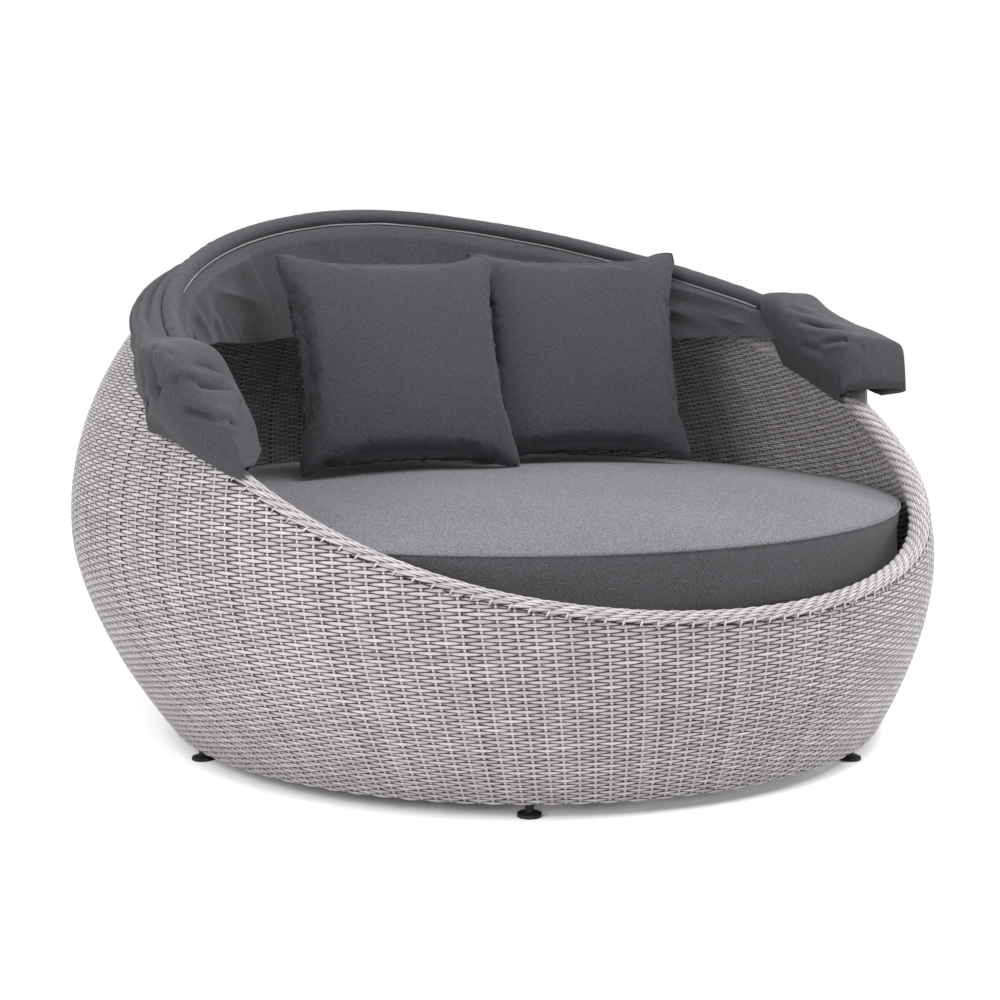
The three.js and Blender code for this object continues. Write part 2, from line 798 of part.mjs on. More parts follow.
placePillow('left_pillow', -leftPillowAside, leftPillowWallGap, leftPillowYaw, leftPillowLean);
placePillow('right_pillow', rightPillowAside, rightPillowWallGap, rightPillowYaw, rightPillowLean);

// Canopy fabric, folded behind the seat

const bowReach = bowTubeRadius / Math.cos(Math.PI / tubeSides);
const bowSeat = bowReach + fitGap + fabricThickness / 2;
const ripple = (turn) => foldDepth * (1 - Math.cos(2 * foldCount * turn)) / 2;
const turnsTo = (left) => steps(fabricSteps + 1)
  .map((i) => lerp(rightClothStart, Math.PI - left, i / fabricSteps));
const foldTurns = turnsTo(leftFoldStart);

// A sheet of even thickness through a row of section lines
function cloth(lines) {
  return loft(lines.map((line, i) => {
    const before = lines[Math.max(i - 1, 0)];
    const after = lines[Math.min(i + 1, lines.length - 1)];
    const faces = [1, -1].map((side) => line.map((point, j) => {
      const down = line[Math.min(j + 1, line.length - 1)].clone().sub(line[Math.max(j - 1, 0)]);
      const across = after[j].clone().sub(before[j]);
      const normal = across.cross(down).normalize();
      return point.clone().addScaledVector(normal, side * fabricThickness / 2);
    }));
    return faces[0].concat(faces[1].reverse());
  }));
}



// The wall angle whose rim lies straight out from a bow point
function rimAngleBeside(point) {
  let angle = Math.atan2(point.y, point.x);
  steps(8).forEach(() => {
    angle = Math.atan2(point.y - centreAt(rimLevel(angle)), point.x);
  });
  return angle;
}

// Sleeve sewn round the front bow, fuller on the side away from the middle bow
const sleeveShift = sleeveRadius - bowTubeRadius - fitGap - sleeveSeam;
const sleeveTurns = bowTurns
  .filter((turn) => turn > rightSleeveStart && turn < Math.PI - leftSleeveStart);
const sleeve = loft(circle(1, tubeSides).map((p) => {
  const skin = (radius, shift) => sleeveTurns.map((turn) => {
    const { centre, up, out } = bowFrame(frontBow, turn);
    const away = centre.clone().sub(bowAt(middleBow, turn)).normalize();
    return centre.addScaledVector(out, p.x * radius).addScaledVector(up, p.y * radius)
      .addScaledVector(away, shift);
  });
  return skin(sleeveRadius, sleeveShift).concat(skin(bowTubeRadius + fitGap, 0).reverse());
}), true);
add('canopy_front_sleeve', sleeve, canopyLook);

// Front panel: hangs inside the bows, from the front bow down to an even hem
add('canopy_front_panel', cloth(turnsTo(leftClothStart).map((turn) => {
  const { centre, out } = bowFrame(frontBow, turn);
  const inward = out.clone().setZ(0).normalize().negate();
  const top = centre.addScaledVector(inward, bowSeat + sleeveShift + sleeveRadius - bowTubeRadius);
  const drop = top.z - hemHeight;
  return steps(4).map((i) => {
    const share = i / 3;
    return top.clone()
      .addScaledVector(inward, ripple(turn) * share)
      .add(vec(0, 0, -drop * share));
  });
})), canopyLook);

const foldSlant = radians(25);

// A section of cloth that comes down over the rear bow: over the rim at the back, and tucked up
// under the bow at the sides
function outsideFold(turn, step, drop) {
  const { centre, along } = bowFrame(rearBow, turn);
  const angle = rimAngleBeside(centre);
  const rim = rimFrame(angle);
  const out = rim.out.clone().projectOnPlane(along).normalize();
  const up = out.clone().cross(along).normalize();
  const beside = (distance, rise) => centre.clone()
    .addScaledVector(out, distance).addScaledVector(up, rise);
  const stand = Math.max(
    bowSeat - bowTubeRadius + braidThickness + step,
    beside(bowSeat + step, 0).sub(rim.edge).dot(rim.out),
  );
  const lift = ripple(turn);
  const fall = smooth((Math.sin(turn) - backFallStart) / (1 - backFallStart));
  const seat = bowSeat + step;
  const clear = seat / Math.cos(Math.PI / 8);
  const tucked = [beside(clear * Math.SQRT1_2, -clear * Math.SQRT1_2), beside(0, -clear)];
  const hanging = [
    rimPlace(angle, stand + lift / 2, 0),
    rimPlace(angle, stand + lift, -drop * fall),
  ];
  return {
    over: beside(seat * Math.cos(foldSlant), seat * Math.sin(foldSlant)),
    line: [
      beside(seat, bowTubeRadius / 2),
      beside(seat, -bowTubeRadius / 2),
      ...tucked.map((place, i) => place.lerp(hanging[i], Math.min(2 * fall, 1))),
    ],
  };
}

// Rear panel: from the rear bow over the rim
add('canopy_rear_panel', cloth(foldTurns.map((turn) => {
  return outsideFold(turn, 0, rearPanelDrop).line;
})), canopyLook);

// Middle panel: a shorter fold, from the middle bow over the rear panel
add('canopy_middle_panel', cloth(foldTurns.map((turn) => {
  const fold = outsideFold(turn, panelStep, middlePanelDrop);
  const { centre, along } = bowFrame(middleBow, turn);
  const away = along.clone().cross(centre.clone().sub(fold.over)).normalize();
  return [centre.addScaledVector(away, bowSeat + middleFoldGap), fold.over, ...fold.line.slice(1)];
})), canopyLook);

// Boots: the loose cloth at each end of the canopy, gathered over the rim by the pivot. A boot is
// laid out in columns from its outer hem over its crest to its inner hem. Each column starts and
// ends at its own distance behind and in front of the pivot.
const bootSeat = fitGap + fabricThickness / 2;
const hemOutside = ringTubeRadius + fitGap + braidThickness - wall / 2 + bootSeat + 2 * skinTopGap;
const hemInside = -(ringTubeRadius + fitGap + braidThickness + wall / 2 + bootSeat + bootSlack);
const leftBoot = {
  rear: leftBootRear,
  front: leftBootFront,
  rearShares: [0.67, 1, 0.6, 0.6, 0.35, 0, -0.1],
  frontShares: [0.91, 0.95, 0.98, 1, 0.98, 0.96, 0.95],
  lastRowShare: 0.89,
  closeShare: 1,
  outShares: [
    [0.3, 0.3, 0.25, 0.15, 0.05, 0, 0, 0],
    [0.66, 0.72, 0.8, 0.88, 0.76, 0.4, 0.15, 0.08],
    [0.8, 0.86, 0.92, 0.98, 0.86, 0.4, 0.15, 0.06],
    [0.46, 0.46, 0.48, 0.48, 0.3, -0.1, -0.2, -0.2],
    [-0.45, -0.45, -0.45, -0.45, -0.5, -0.6, -0.58, -0.5],
    [-0.66, -0.58],
    [0, 0],
  ],
  heightShares: [0, 0.42, 0.9, 1, 0.94, 0.42, 0],
  crestShares: [0.88, 0.92, 1.02, 1.16, 1.2, 0.88, 0.66, 0.12],
  hemShares: [-0.75, -0.62, -0.5, -0.4, -0.34, -0.27, -0.2, -0.12],
};
const rightBoot = {
  rear: rightBootRear,
  front: rightBootFront,
  rearShares: [0.73, 0.85, 0.96, 1, 0.97, 0.9, 0.86],
  frontShares: [0.55, 0.85, 1, 1, 0.85, 0.5, 0],
  lastRowShare: 0.985,
  closeShare: 0.15,
  outShares: [[0.2, 0.4], [0.44, 1], [0.54, 1], [0.3, 0.2], [-0.72, -0.4], [-0.66, -0.6], [0, 0]],
  heightShares: [0, 0.42, 0.86, 1, 0.97, 0.42, 0],
  crestShares: [1.03, 0.96, 0.92, 0.96, 1, 1.08, 1.14, 1.2],
  hemShares: [-0.5, -0.4, -0.32, -0.24, -0.14, -0.04, 0.04, 0.14],
};
const innerHemShare = -0.16;
const bootRows = 8;

// The value at a place between the evenly spaced entries of a table
function along(table, t) {
  const place = THREE.MathUtils.clamp(t, 0, 1) * (table.length - 1);
  const i = Math.min(Math.floor(place), table.length - 2);
  return lerp(table[i], table[i + 1], place - i);
}

// A point beside the flat stretches of the rim: outwards from its edge, and above or below it
function besideRim(y, out, rise) {
  const stretch = 2 * Math.PI / facetsAround;
  const angle = angleAtY(y);
  const corner = Math.floor((angle - turns[0]) / stretch) * stretch + turns[0];
  const [before, after] = [corner, corner + stretch].map((turn) => {
    const rim = rimFrame(turn);
    if (rise < 0) {
      return out > 0 ? wallPoint(turn, rim.level + rise, -out) : rimPlace(turn, out, rise);
    }
    return rim.edge.addScaledVector(rim.out.clone().setZ(0).normalize(), out).add(vec(0, 0, rise));
  });
  return before.lerp(after, (angle - corner) / stretch);
}

function boot(shape) {
  return cloth(steps(bootRows + 2).map((i) => {
    const rowShare = i > bootRows ? 1 : shape.lastRowShare * i / bootRows;
    const columns = shape.heightShares.map((heightShare, j) => {
      const y = lerp(
        pivotY + shape.rear * shape.rearShares[j],
        pivotY - shape.front * shape.frontShares[j],
        rowShare,
      );
      const t = (pivotY + shape.rear - y) / (shape.rear + shape.front);
      const innerSide = j > shape.heightShares.length / 2;
      const hem = bootRise * (innerSide ? innerHemShare : along(shape.hemShares, t));
      const crest = bootRise * along(shape.crestShares, t);
      const height = rowShare < 1 ? heightShare : heightShare * shape.closeShare;
      const spread = bootSpread * along(shape.outShares[j], t);
      const seats = [hemOutside, ...Array(shape.heightShares.length - 2).fill(0), hemInside];
      return besideRim(y, seats[j] + spread, lerp(hem, crest, height));
    });
    return new THREE.CatmullRomCurve3(columns).getPoints(10);
  }));
}

add('right_canopy_boot', boot(rightBoot), canopyLook);
add('left_canopy_boot', mirrorX(boot(leftBoot)), canopyLook);

export default daybed;
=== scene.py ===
import json
import math

import bpy
import numpy as np
from mathutils import Vector
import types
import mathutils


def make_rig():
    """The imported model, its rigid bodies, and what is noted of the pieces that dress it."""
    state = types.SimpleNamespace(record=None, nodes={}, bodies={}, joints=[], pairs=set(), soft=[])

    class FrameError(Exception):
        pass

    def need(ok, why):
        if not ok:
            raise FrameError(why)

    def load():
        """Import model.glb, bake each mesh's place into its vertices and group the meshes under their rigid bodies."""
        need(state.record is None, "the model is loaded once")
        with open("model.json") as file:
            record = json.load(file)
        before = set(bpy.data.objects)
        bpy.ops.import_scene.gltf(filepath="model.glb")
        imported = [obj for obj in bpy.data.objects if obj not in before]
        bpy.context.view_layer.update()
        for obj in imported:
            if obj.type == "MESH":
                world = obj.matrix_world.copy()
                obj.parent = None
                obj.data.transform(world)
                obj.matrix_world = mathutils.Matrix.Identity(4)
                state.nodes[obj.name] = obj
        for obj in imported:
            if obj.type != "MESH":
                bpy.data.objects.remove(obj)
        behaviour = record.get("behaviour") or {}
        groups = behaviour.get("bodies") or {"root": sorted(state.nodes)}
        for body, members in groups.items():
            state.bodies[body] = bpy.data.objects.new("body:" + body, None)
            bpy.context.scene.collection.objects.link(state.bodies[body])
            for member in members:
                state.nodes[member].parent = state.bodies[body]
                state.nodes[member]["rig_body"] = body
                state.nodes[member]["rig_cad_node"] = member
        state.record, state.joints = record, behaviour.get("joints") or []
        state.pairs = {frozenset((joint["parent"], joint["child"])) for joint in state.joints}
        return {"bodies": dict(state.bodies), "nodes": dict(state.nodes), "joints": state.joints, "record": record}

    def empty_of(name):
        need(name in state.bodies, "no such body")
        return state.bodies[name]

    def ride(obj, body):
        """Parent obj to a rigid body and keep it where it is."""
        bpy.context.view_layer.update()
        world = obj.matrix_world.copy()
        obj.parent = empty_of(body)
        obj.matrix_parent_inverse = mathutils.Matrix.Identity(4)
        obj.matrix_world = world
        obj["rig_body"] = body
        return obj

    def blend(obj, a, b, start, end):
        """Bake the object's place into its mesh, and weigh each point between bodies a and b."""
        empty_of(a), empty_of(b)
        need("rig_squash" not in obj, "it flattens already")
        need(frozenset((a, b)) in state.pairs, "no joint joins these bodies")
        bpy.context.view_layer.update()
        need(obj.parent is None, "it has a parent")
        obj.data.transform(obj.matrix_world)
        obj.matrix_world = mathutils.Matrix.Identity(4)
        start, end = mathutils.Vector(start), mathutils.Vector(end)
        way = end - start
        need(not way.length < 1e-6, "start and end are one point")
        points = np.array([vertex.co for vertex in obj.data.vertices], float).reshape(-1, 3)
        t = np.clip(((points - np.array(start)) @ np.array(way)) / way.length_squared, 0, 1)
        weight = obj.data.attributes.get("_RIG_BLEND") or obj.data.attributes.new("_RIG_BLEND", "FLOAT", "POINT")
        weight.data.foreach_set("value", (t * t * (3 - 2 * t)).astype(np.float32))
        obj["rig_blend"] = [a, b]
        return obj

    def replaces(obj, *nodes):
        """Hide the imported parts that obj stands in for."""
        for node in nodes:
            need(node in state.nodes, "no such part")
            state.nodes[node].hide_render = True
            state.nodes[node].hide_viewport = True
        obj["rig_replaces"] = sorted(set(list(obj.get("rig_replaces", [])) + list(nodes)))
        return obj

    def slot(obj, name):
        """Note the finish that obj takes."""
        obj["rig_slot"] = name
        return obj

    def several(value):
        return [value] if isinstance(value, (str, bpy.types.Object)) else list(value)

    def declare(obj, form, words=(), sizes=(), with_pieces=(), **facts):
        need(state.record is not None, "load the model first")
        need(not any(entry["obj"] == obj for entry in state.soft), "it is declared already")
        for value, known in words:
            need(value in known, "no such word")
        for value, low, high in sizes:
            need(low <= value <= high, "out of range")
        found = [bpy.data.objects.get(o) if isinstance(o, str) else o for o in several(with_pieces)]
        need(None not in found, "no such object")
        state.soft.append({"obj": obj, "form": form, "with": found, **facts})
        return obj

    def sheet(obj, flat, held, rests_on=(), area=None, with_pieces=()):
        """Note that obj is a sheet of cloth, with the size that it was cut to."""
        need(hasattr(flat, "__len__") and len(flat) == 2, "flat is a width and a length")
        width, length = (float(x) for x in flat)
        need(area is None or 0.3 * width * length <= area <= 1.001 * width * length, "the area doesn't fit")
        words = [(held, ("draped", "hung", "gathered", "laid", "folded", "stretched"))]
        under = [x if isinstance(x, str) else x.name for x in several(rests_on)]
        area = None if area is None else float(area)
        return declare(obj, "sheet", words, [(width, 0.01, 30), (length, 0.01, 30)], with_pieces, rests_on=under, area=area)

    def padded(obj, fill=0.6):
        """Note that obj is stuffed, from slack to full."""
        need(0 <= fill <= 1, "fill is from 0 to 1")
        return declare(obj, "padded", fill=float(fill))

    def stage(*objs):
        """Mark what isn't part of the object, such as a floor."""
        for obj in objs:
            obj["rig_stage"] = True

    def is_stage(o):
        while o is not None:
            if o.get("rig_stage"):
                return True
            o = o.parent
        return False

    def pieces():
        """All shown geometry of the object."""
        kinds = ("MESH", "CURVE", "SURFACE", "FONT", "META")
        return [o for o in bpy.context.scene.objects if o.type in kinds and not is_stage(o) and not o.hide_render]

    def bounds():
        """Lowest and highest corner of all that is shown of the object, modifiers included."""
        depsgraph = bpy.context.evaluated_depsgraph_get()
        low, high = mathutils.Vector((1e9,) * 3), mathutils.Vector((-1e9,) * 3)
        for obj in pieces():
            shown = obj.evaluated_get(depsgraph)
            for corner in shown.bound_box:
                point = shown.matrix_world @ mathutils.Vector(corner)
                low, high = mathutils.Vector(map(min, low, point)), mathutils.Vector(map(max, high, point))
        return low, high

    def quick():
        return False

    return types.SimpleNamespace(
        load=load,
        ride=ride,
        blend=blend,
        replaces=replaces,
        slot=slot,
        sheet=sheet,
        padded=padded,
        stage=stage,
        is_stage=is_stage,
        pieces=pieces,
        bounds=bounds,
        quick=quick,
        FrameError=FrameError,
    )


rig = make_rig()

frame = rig.load()
cad_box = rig.bounds()


# The studio: a white floor that keeps the soft shadow under the bowl, an even white
# surround, one broad lamp overhead and two weaker ones at the sides. The camera stands in
# front and to the left, at the height of the seated eye.
class Value:
    """One output of a node, which can be added to and multiplied."""

    def __init__(self, finish, socket):
        self.finish = finish
        self.socket = socket

    def maths(self, operation, other):
        return self.finish.node("ShaderNodeMath", {"operation": operation}, {0: self, 1: other})

    def __add__(self, other):
        return self.maths("ADD", other)

    def __mul__(self, other):
        return self.maths("MULTIPLY", other)


class Finish:
    """The nodes of one finish, or of the surround."""

    def __init__(self, owner):
        owner.use_nodes = True
        self.owner = owner
        self.tree = owner.node_tree
        self.tree.nodes.clear()

    def node(self, kind, settings, inputs, output=0):
        made = self.tree.nodes.new(kind)
        for name, setting in settings.items():
            setattr(made, name, setting)
        for name, value in inputs.items():
            if isinstance(value, Value):
                self.tree.links.new(value.socket, made.inputs[name])
            else:
                made.inputs[name].default_value = value
        return Value(self, made.outputs[output])

    def tint(self, share, first, second):
        inputs = {0: share, 6: first, 7: second}
        return self.node("ShaderNodeMix", {"data_type": "RGBA"}, inputs, 2)

    def place(self):
        return self.node("ShaderNodeTexCoord", {}, {}, "Object")

    def stretch(self, vector, scale):
        return self.node("ShaderNodeMapping", {}, {0: vector, "Scale": scale})

    def noise(self, vector, scale, detail=2.0):
        inputs = {"Vector": vector, "Scale": scale, "Detail": detail}
        return self.node("ShaderNodeTexNoise", {}, inputs, "Fac")

    def shade(self, key):
        """A value that the points of the piece carry."""
        return self.node("ShaderNodeAttribute", {"attribute_name": key}, {}, "Fac")

    def bump(self, height, strength, distance):
        return self.node("ShaderNodeBump", {}, {
            "Height": height, "Strength": strength, "Distance": distance,
        })

    def surface(self, inputs):
        return self.node("ShaderNodeBsdfPrincipled", {}, inputs)

    def end(self, shader, kind="ShaderNodeOutputMaterial"):
        output = self.tree.nodes.new(kind)
        self.tree.links.new(shader.socket, output.inputs["Surface"])
        return self.owner


white = (1.0, 1.0, 1.0, 1.0)
surround = Finish(bpy.data.worlds.new("surround"))
bpy.context.scene.world = surround.owner
ray = surround.node("ShaderNodeLightPath", {}, {}, "Is Camera Ray")
gloss_ray = surround.node("ShaderNodeLightPath", {}, {}, "Is Glossy Ray")
clear_ray = surround.node("ShaderNodeLightPath", {}, {}, "Is Transmission Ray")
dim_sky = surround.node("ShaderNodeBackground", {}, {"Color": white, "Strength": 0.5})
white_sky = surround.node("ShaderNodeBackground", {}, {"Color": white, "Strength": 1.0})
seen = ray.maths("MAXIMUM", gloss_ray.maths("MAXIMUM", clear_ray))
surround.end(surround.node("ShaderNodeMixShader", {}, {0: seen, 1: dim_sky, 2: white_sky}),
             "ShaderNodeOutputWorld")

ground = Finish(bpy.data.materials.new("studio floor"))
camera_ray = ground.node("ShaderNodeLightPath", {}, {}, "Is Camera Ray")
matt_floor = ground.node("ShaderNodeBsdfDiffuse", {}, {"Color": (0.86, 0.86, 0.86, 1.0)})
seen_floor = ground.node("ShaderNodeBsdfDiffuse", {}, {"Color": (1.2, 1.2, 1.2, 1.0)})
floor_glow = {"Color": white, "Strength": camera_ray * 0.02}
floor_lift = ground.node("ShaderNodeEmission", {}, floor_glow)
bright_floor = ground.node("ShaderNodeAddShader", {}, {0: matt_floor, 1: seen_floor})
floor_mix = ground.node(
    "ShaderNodeMixShader", {}, {0: camera_ray, 1: matt_floor, 2: bright_floor})
ground.end(ground.node("ShaderNodeAddShader", {}, {0: floor_mix, 1: floor_lift}))
floor_mesh = bpy.data.meshes.new("studio_floor")
floor_corners = [(-30, -30, 0), (30, -30, 0), (30, 30, 0), (-30, 30, 0)]
floor_mesh.from_pydata(floor_corners, [], [(0, 1, 2, 3)])
floor_mesh.materials.append(ground.owner)


def link_piece(name, data):
    """An object with its data, placed in the scene."""
    piece = bpy.data.objects.new(name, data)
    bpy.context.scene.collection.objects.link(piece)
    return piece


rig.stage(link_piece("studio_floor", floor_mesh))

camera_data = bpy.data.cameras.new("camera")
camera_data.sensor_width = 36.0
camera_data.lens = 63.36
camera = link_piece("camera", camera_data)
camera_turn, camera_rise = math.radians(-30.0), math.radians(7.29)
camera.location = (-1.8775, -3.1475, 0.92725)
camera.rotation_euler = Vector((
    math.sin(camera_turn) * math.cos(camera_rise),
    -math.cos(camera_turn) * math.cos(camera_rise),
    math.sin(camera_rise),
)).to_track_quat("Z", "Y").to_euler()
bpy.context.scene.camera = camera

for name, place, aim, size, power in [
    ("top_lamp", (0.5, -0.9, 3.7), (0.0, 0.0, 0.45), 2.0, 86.0),
    ("right_lamp", (3.3, -1.7, 2.1), (0.0, 0.1, 0.5), 1.8, 42.0),
    ("left_lamp", (-3.3, -1.3, 1.8), (0.0, 0.1, 0.5), 1.8, 42.0),
]:
    lamp_data = bpy.data.lights.new(name, "AREA")
    lamp_data.size = size
    lamp_data.energy = power
    lamp = link_piece(name, lamp_data)
    lamp.location = place
    lamp.rotation_euler = (Vector(place) - Vector(aim)).to_track_quat("Z", "Y").to_euler()
bpy.context.scene.view_settings.view_transform = "Standard"


# The woven skins: flat resin strands laid in level rows round upright stakes, over one stake
# and behind the next, row about row. The outer skin runs from the floor gap to the braid, the
# inner one from the deck up. A dark lining stands for the shade behind the strands.
bowl_radius, base_radius = 0.9, 0.739
weave_foot, widest_height, upper_reach = 0.024, 0.405, 0.742
lower_power, upper_power, lean = 1.73, 1.92, 0.243
wall_depth = 0.0386
skin_depth = 0.006
deck_top = 0.3138
stake_count = 186
row_pitch = 0.0064
braid_foot = 0.021
braid_overlap = 0.002
strand_rise = 0.0017
float_reach, float_jog = 0.96, 0.0003
painted_shade_depth = 0.0036
luck = np.random.default_rng(7)


def radius_at(level):
    """The radius of the bowl round its leaning axis."""
    below = np.clip((widest_height - level) / (widest_height - weave_foot), 0.0, None)
    above = np.clip((level - widest_height) / upper_reach, 0.0, 0.98)
    lower = base_radius + (bowl_radius - base_radius) * (1.0 - below ** lower_power)
    upper = bowl_radius * (1.0 - above ** upper_power) ** (1.0 / upper_power)
    return np.where(level < widest_height, lower, upper)


def flare_at(level):
    """How fast the radius grows with the level."""
    step = 0.0002
    return (radius_at(level + step) - radius_at(level - step)) / (2.0 * step)


def wall_point(angle, level, depth=0.0):
    """The point of the wall and the way out of it, at a depth behind its outer face."""
    angle, level, depth = np.broadcast_arrays(angle, level, depth)
    radius = radius_at(level)
    face = np.stack([
        radius * np.cos(angle), lean * (level - weave_foot) + radius * np.sin(angle), level,
    ], -1)
    out = np.stack([np.cos(angle), np.sin(angle), -(flare_at(level) + lean * np.sin(angle))], -1)
    out /= np.linalg.norm(out, axis=-1, keepdims=True)
    return face - depth[..., None] * out, out


def bend_between(t, span, start, start_slope, end, end_slope):
    """A smooth curve between two heights with a slope given at each."""
    return (start * (1 + 2 * t) * (1 - t) ** 2 + start_slope * span * t * (1 - t) ** 2
            + end * t * t * (3 - 2 * t) - end_slope * span * t * t * (1 - t))


# Height and slope of the rim in front, at its shoulder and behind
rim_front = (0.364, 0.326)
rim_shoulder = (0.687, 0.455)
rim_back = (0.985, 0.27)
shoulder_y = -0.1
front_y = lean * (rim_front[0] - weave_foot) - float(radius_at(np.array(rim_front[0])))
back_y = lean * (rim_back[0] - weave_foot) + float(radius_at(np.array(rim_back[0])))


def rim_height(y):
    fore = (y - front_y) / (shoulder_y - front_y)
    aft = (y - shoulder_y) / (back_y - shoulder_y)
    return np.where(
        y < shoulder_y,
        bend_between(fore, shoulder_y - front_y, *rim_front, *rim_shoulder),
        bend_between(aft, back_y - shoulder_y, *rim_shoulder, *rim_back),
    )


def rim_level(angle):
    """The level of the rim at an angle, found by repeated steps towards it."""
    level = np.full_like(angle, rim_shoulder[0])
    for _ in range(60):
        level = rim_height(lean * (level - weave_foot) + radius_at(level) * np.sin(angle))
    return level


def rim_frame(angle):
    """At the rim: its edge, along it, out of the wall and up across it."""
    stride = 0.004
    before = wall_point(angle - stride, rim_level(angle - stride))[0]
    after = wall_point(angle + stride, rim_level(angle + stride))[0]
    along = after - before
    along /= np.linalg.norm(along, axis=-1, keepdims=True)
    edge, normal = wall_point(angle, rim_level(angle))
    up = np.cross(normal, along)
    up /= np.linalg.norm(up, axis=-1, keepdims=True)
    return edge, along, np.cross(along, up), up


def new_piece(name, points, faces, finish):
    mesh = bpy.data.meshes.new(name)
    mesh.from_pydata(np.asarray(points, float).tolist(), [], [list(map(int, f)) for f in faces])
    mesh.shade_smooth()
    mesh.materials.append(finish)
    return link_piece(name, mesh)


def grid_faces(rows, columns, closed_rows=False, closed_columns=False):
    """Four-sided faces over a grid of points, and round it where it closes."""
    i = np.arange(rows if closed_rows else rows - 1)[:, None]
    j = np.arange(columns if closed_columns else columns - 1)[None, :]
    here = i * columns + j
    below = ((i + 1) % rows) * columns + j
    aside = i * columns + (j + 1) % columns
    across = ((i + 1) % rows) * columns + (j + 1) % columns
    return np.stack(np.broadcast_arrays(here, aside, across, below), -1).reshape(-1, 4)


def strand_finish(name, light, dark):
    """Matt resin strand: two tones, fine streaks, a soft shine, and painted shade at its edges."""
    finish = Finish(bpy.data.materials.new(name))
    shade, painted_shade_mask, place = finish.shade("shade"), finish.shade("painted_shade_mask"), finish.place()
    cloud = finish.noise(place, 9.0, 3.0)
    streak = finish.noise(finish.stretch(place, (60.0, 60.0, 900.0)), 1.0, 2.0)
    share = finish.node("ShaderNodeMapRange", {}, {
        "Value": shade * 0.62 + cloud * 0.25 + streak * 0.25,
        "From Min": 0.15, "From Max": 0.95,
    })
    # Painted shade: where the points' mask value is low, at float edges and ends, the tone goes to near black.
    tone = finish.tint(painted_shade_mask, (0.075, 0.062, 0.066, 1.0), finish.tint(share, dark, light))
    return finish.end(finish.surface({
        "Base Color": tone,
        "Roughness": streak * 0.2 + 0.38,
        "Specular IOR Level": 0.45,
        "Normal": finish.bump(streak, 0.25, 0.0006),
    }))


strand = strand_finish("woven resin strand", (0.86, 0.82, 0.82, 1.0), (0.50, 0.46, 0.47, 1.0))
# Painted shade: a near-black mottled finish for sheets that stand where there is only shadow behind the weave.
shade = Finish(bpy.data.materials.new("shade behind the weave"))
mottle = shade.noise(shade.place(), 120.0)
painted_shade_sheet = shade.end(shade.surface({
    "Base Color": shade.tint(mottle, (0.022, 0.018, 0.02, 1.0), (0.05, 0.042, 0.045, 1.0)),
    "Roughness": 0.9,
}))

# One strand float: full over the stake in the middle, narrow where it dives at both ends,
# with shade painted dark there. Each ring is its place, half width, middle, rise and
# painted shade mask; each corner is its place across and above, and its painted shade mask.
float_rings = [
    (-1.0, 0.18, -0.0022, 0.0008, 0.35), (-0.55, 0.47, -0.0007, 0.0014, 0.9),
    (0.0, 0.68, 0.0, strand_rise, 1.0),
    (0.55, 0.47, -0.0007, 0.0014, 0.9), (1.0, 0.18, -0.0022, 0.0008, 0.35),
]
float_corners = [(-1.0, 0.0, 0.0), (-0.5, 0.85, 1.0), (0.5, 0.85, 1.0), (1.0, 0.0, 0.0),
                 (0.0, -1.0, 0.0)]
float_points = [(x, y * half, mid + z * rise)
                for x, half, mid, rise, _ in float_rings for y, z, _ in float_corners]
float_shade_mask = [ring[-1] * corner[-1] for ring in float_rings for corner in float_corners]
float_faces = grid_faces(len(float_rings), 5, closed_columns=True)[:, ::-1].tolist()
float_faces += [[0, 1, 2, 3, 4], [24, 23, 22, 21, 20]]
float_shape = new_piece("strand_float", float_points, float_faces, strand)
shade_mask_layer = float_shape.data.attributes.new("painted_shade_mask", "FLOAT", "POINT")
shade_mask_layer.data.foreach_set("value", np.array(float_shade_mask, np.float32))


def strand_layer():
    """Geometry nodes that lay one float on each point, turned and sized by the point."""
    tree = bpy.data.node_groups.new("lay strands", "GeometryNodeTree")
    sockets = {}
    for name, kind in [("Points", "Geometry"), ("Float", "Object"), ("Width", "Float"),
                       ("Thickness", "Float"), ("Finish", "Material")]:
        made = tree.interface.new_socket(name, in_out="INPUT", socket_type="NodeSocket" + kind)
        sockets[name] = made.identifier
    tree.interface.new_socket("Strands", in_out="OUTPUT", socket_type="NodeSocketGeometry")

    def node(kind, settings, links):
        made = tree.nodes.new(kind)
        for key, value in settings.items():
            setattr(made, key, value)
        for key, source in links.items():
            tree.links.new(source, made.inputs[key])
        return made

    def named(name, kind):
        made = node("GeometryNodeInputNamedAttribute", {"data_type": kind}, {})
        made.inputs["Name"].default_value = name
        return made.outputs["Attribute"]

    given = node("NodeGroupInput", {}, {}).outputs
    upright = node("FunctionNodeAlignRotationToVector", {"axis": "Z"},
                   {"Vector": named("face", "FLOAT_VECTOR")})
    turned = node("FunctionNodeAlignRotationToVector", {"axis": "X", "pivot_axis": "Z"},
                  {"Rotation": upright.outputs[0], "Vector": named("along", "FLOAT_VECTOR")})
    width = node("ShaderNodeMath", {"operation": "MULTIPLY"},
                 {0: named("row", "FLOAT"), 1: given["Width"]})
    size = node("ShaderNodeCombineXYZ", {},
                {"X": named("reach", "FLOAT"), "Y": width.outputs[0], "Z": given["Thickness"]})
    shape = node("GeometryNodeObjectInfo", {}, {"Object": given["Float"]})
    laid = node("GeometryNodeInstanceOnPoints", {}, {
        "Points": given["Points"], "Instance": shape.outputs["Geometry"],
        "Rotation": turned.outputs[0], "Scale": size.outputs[0],
    })
    real = node("GeometryNodeRealizeInstances", {}, {"Geometry": laid.outputs[0]})
    dressed = node("GeometryNodeSetMaterial", {},
                   {"Geometry": real.outputs[0], "Material": given["Finish"]})
    node("NodeGroupOutput", {}, {"Strands": dressed.outputs[0]})
    return tree, sockets


laying, laying_inputs = strand_layer()


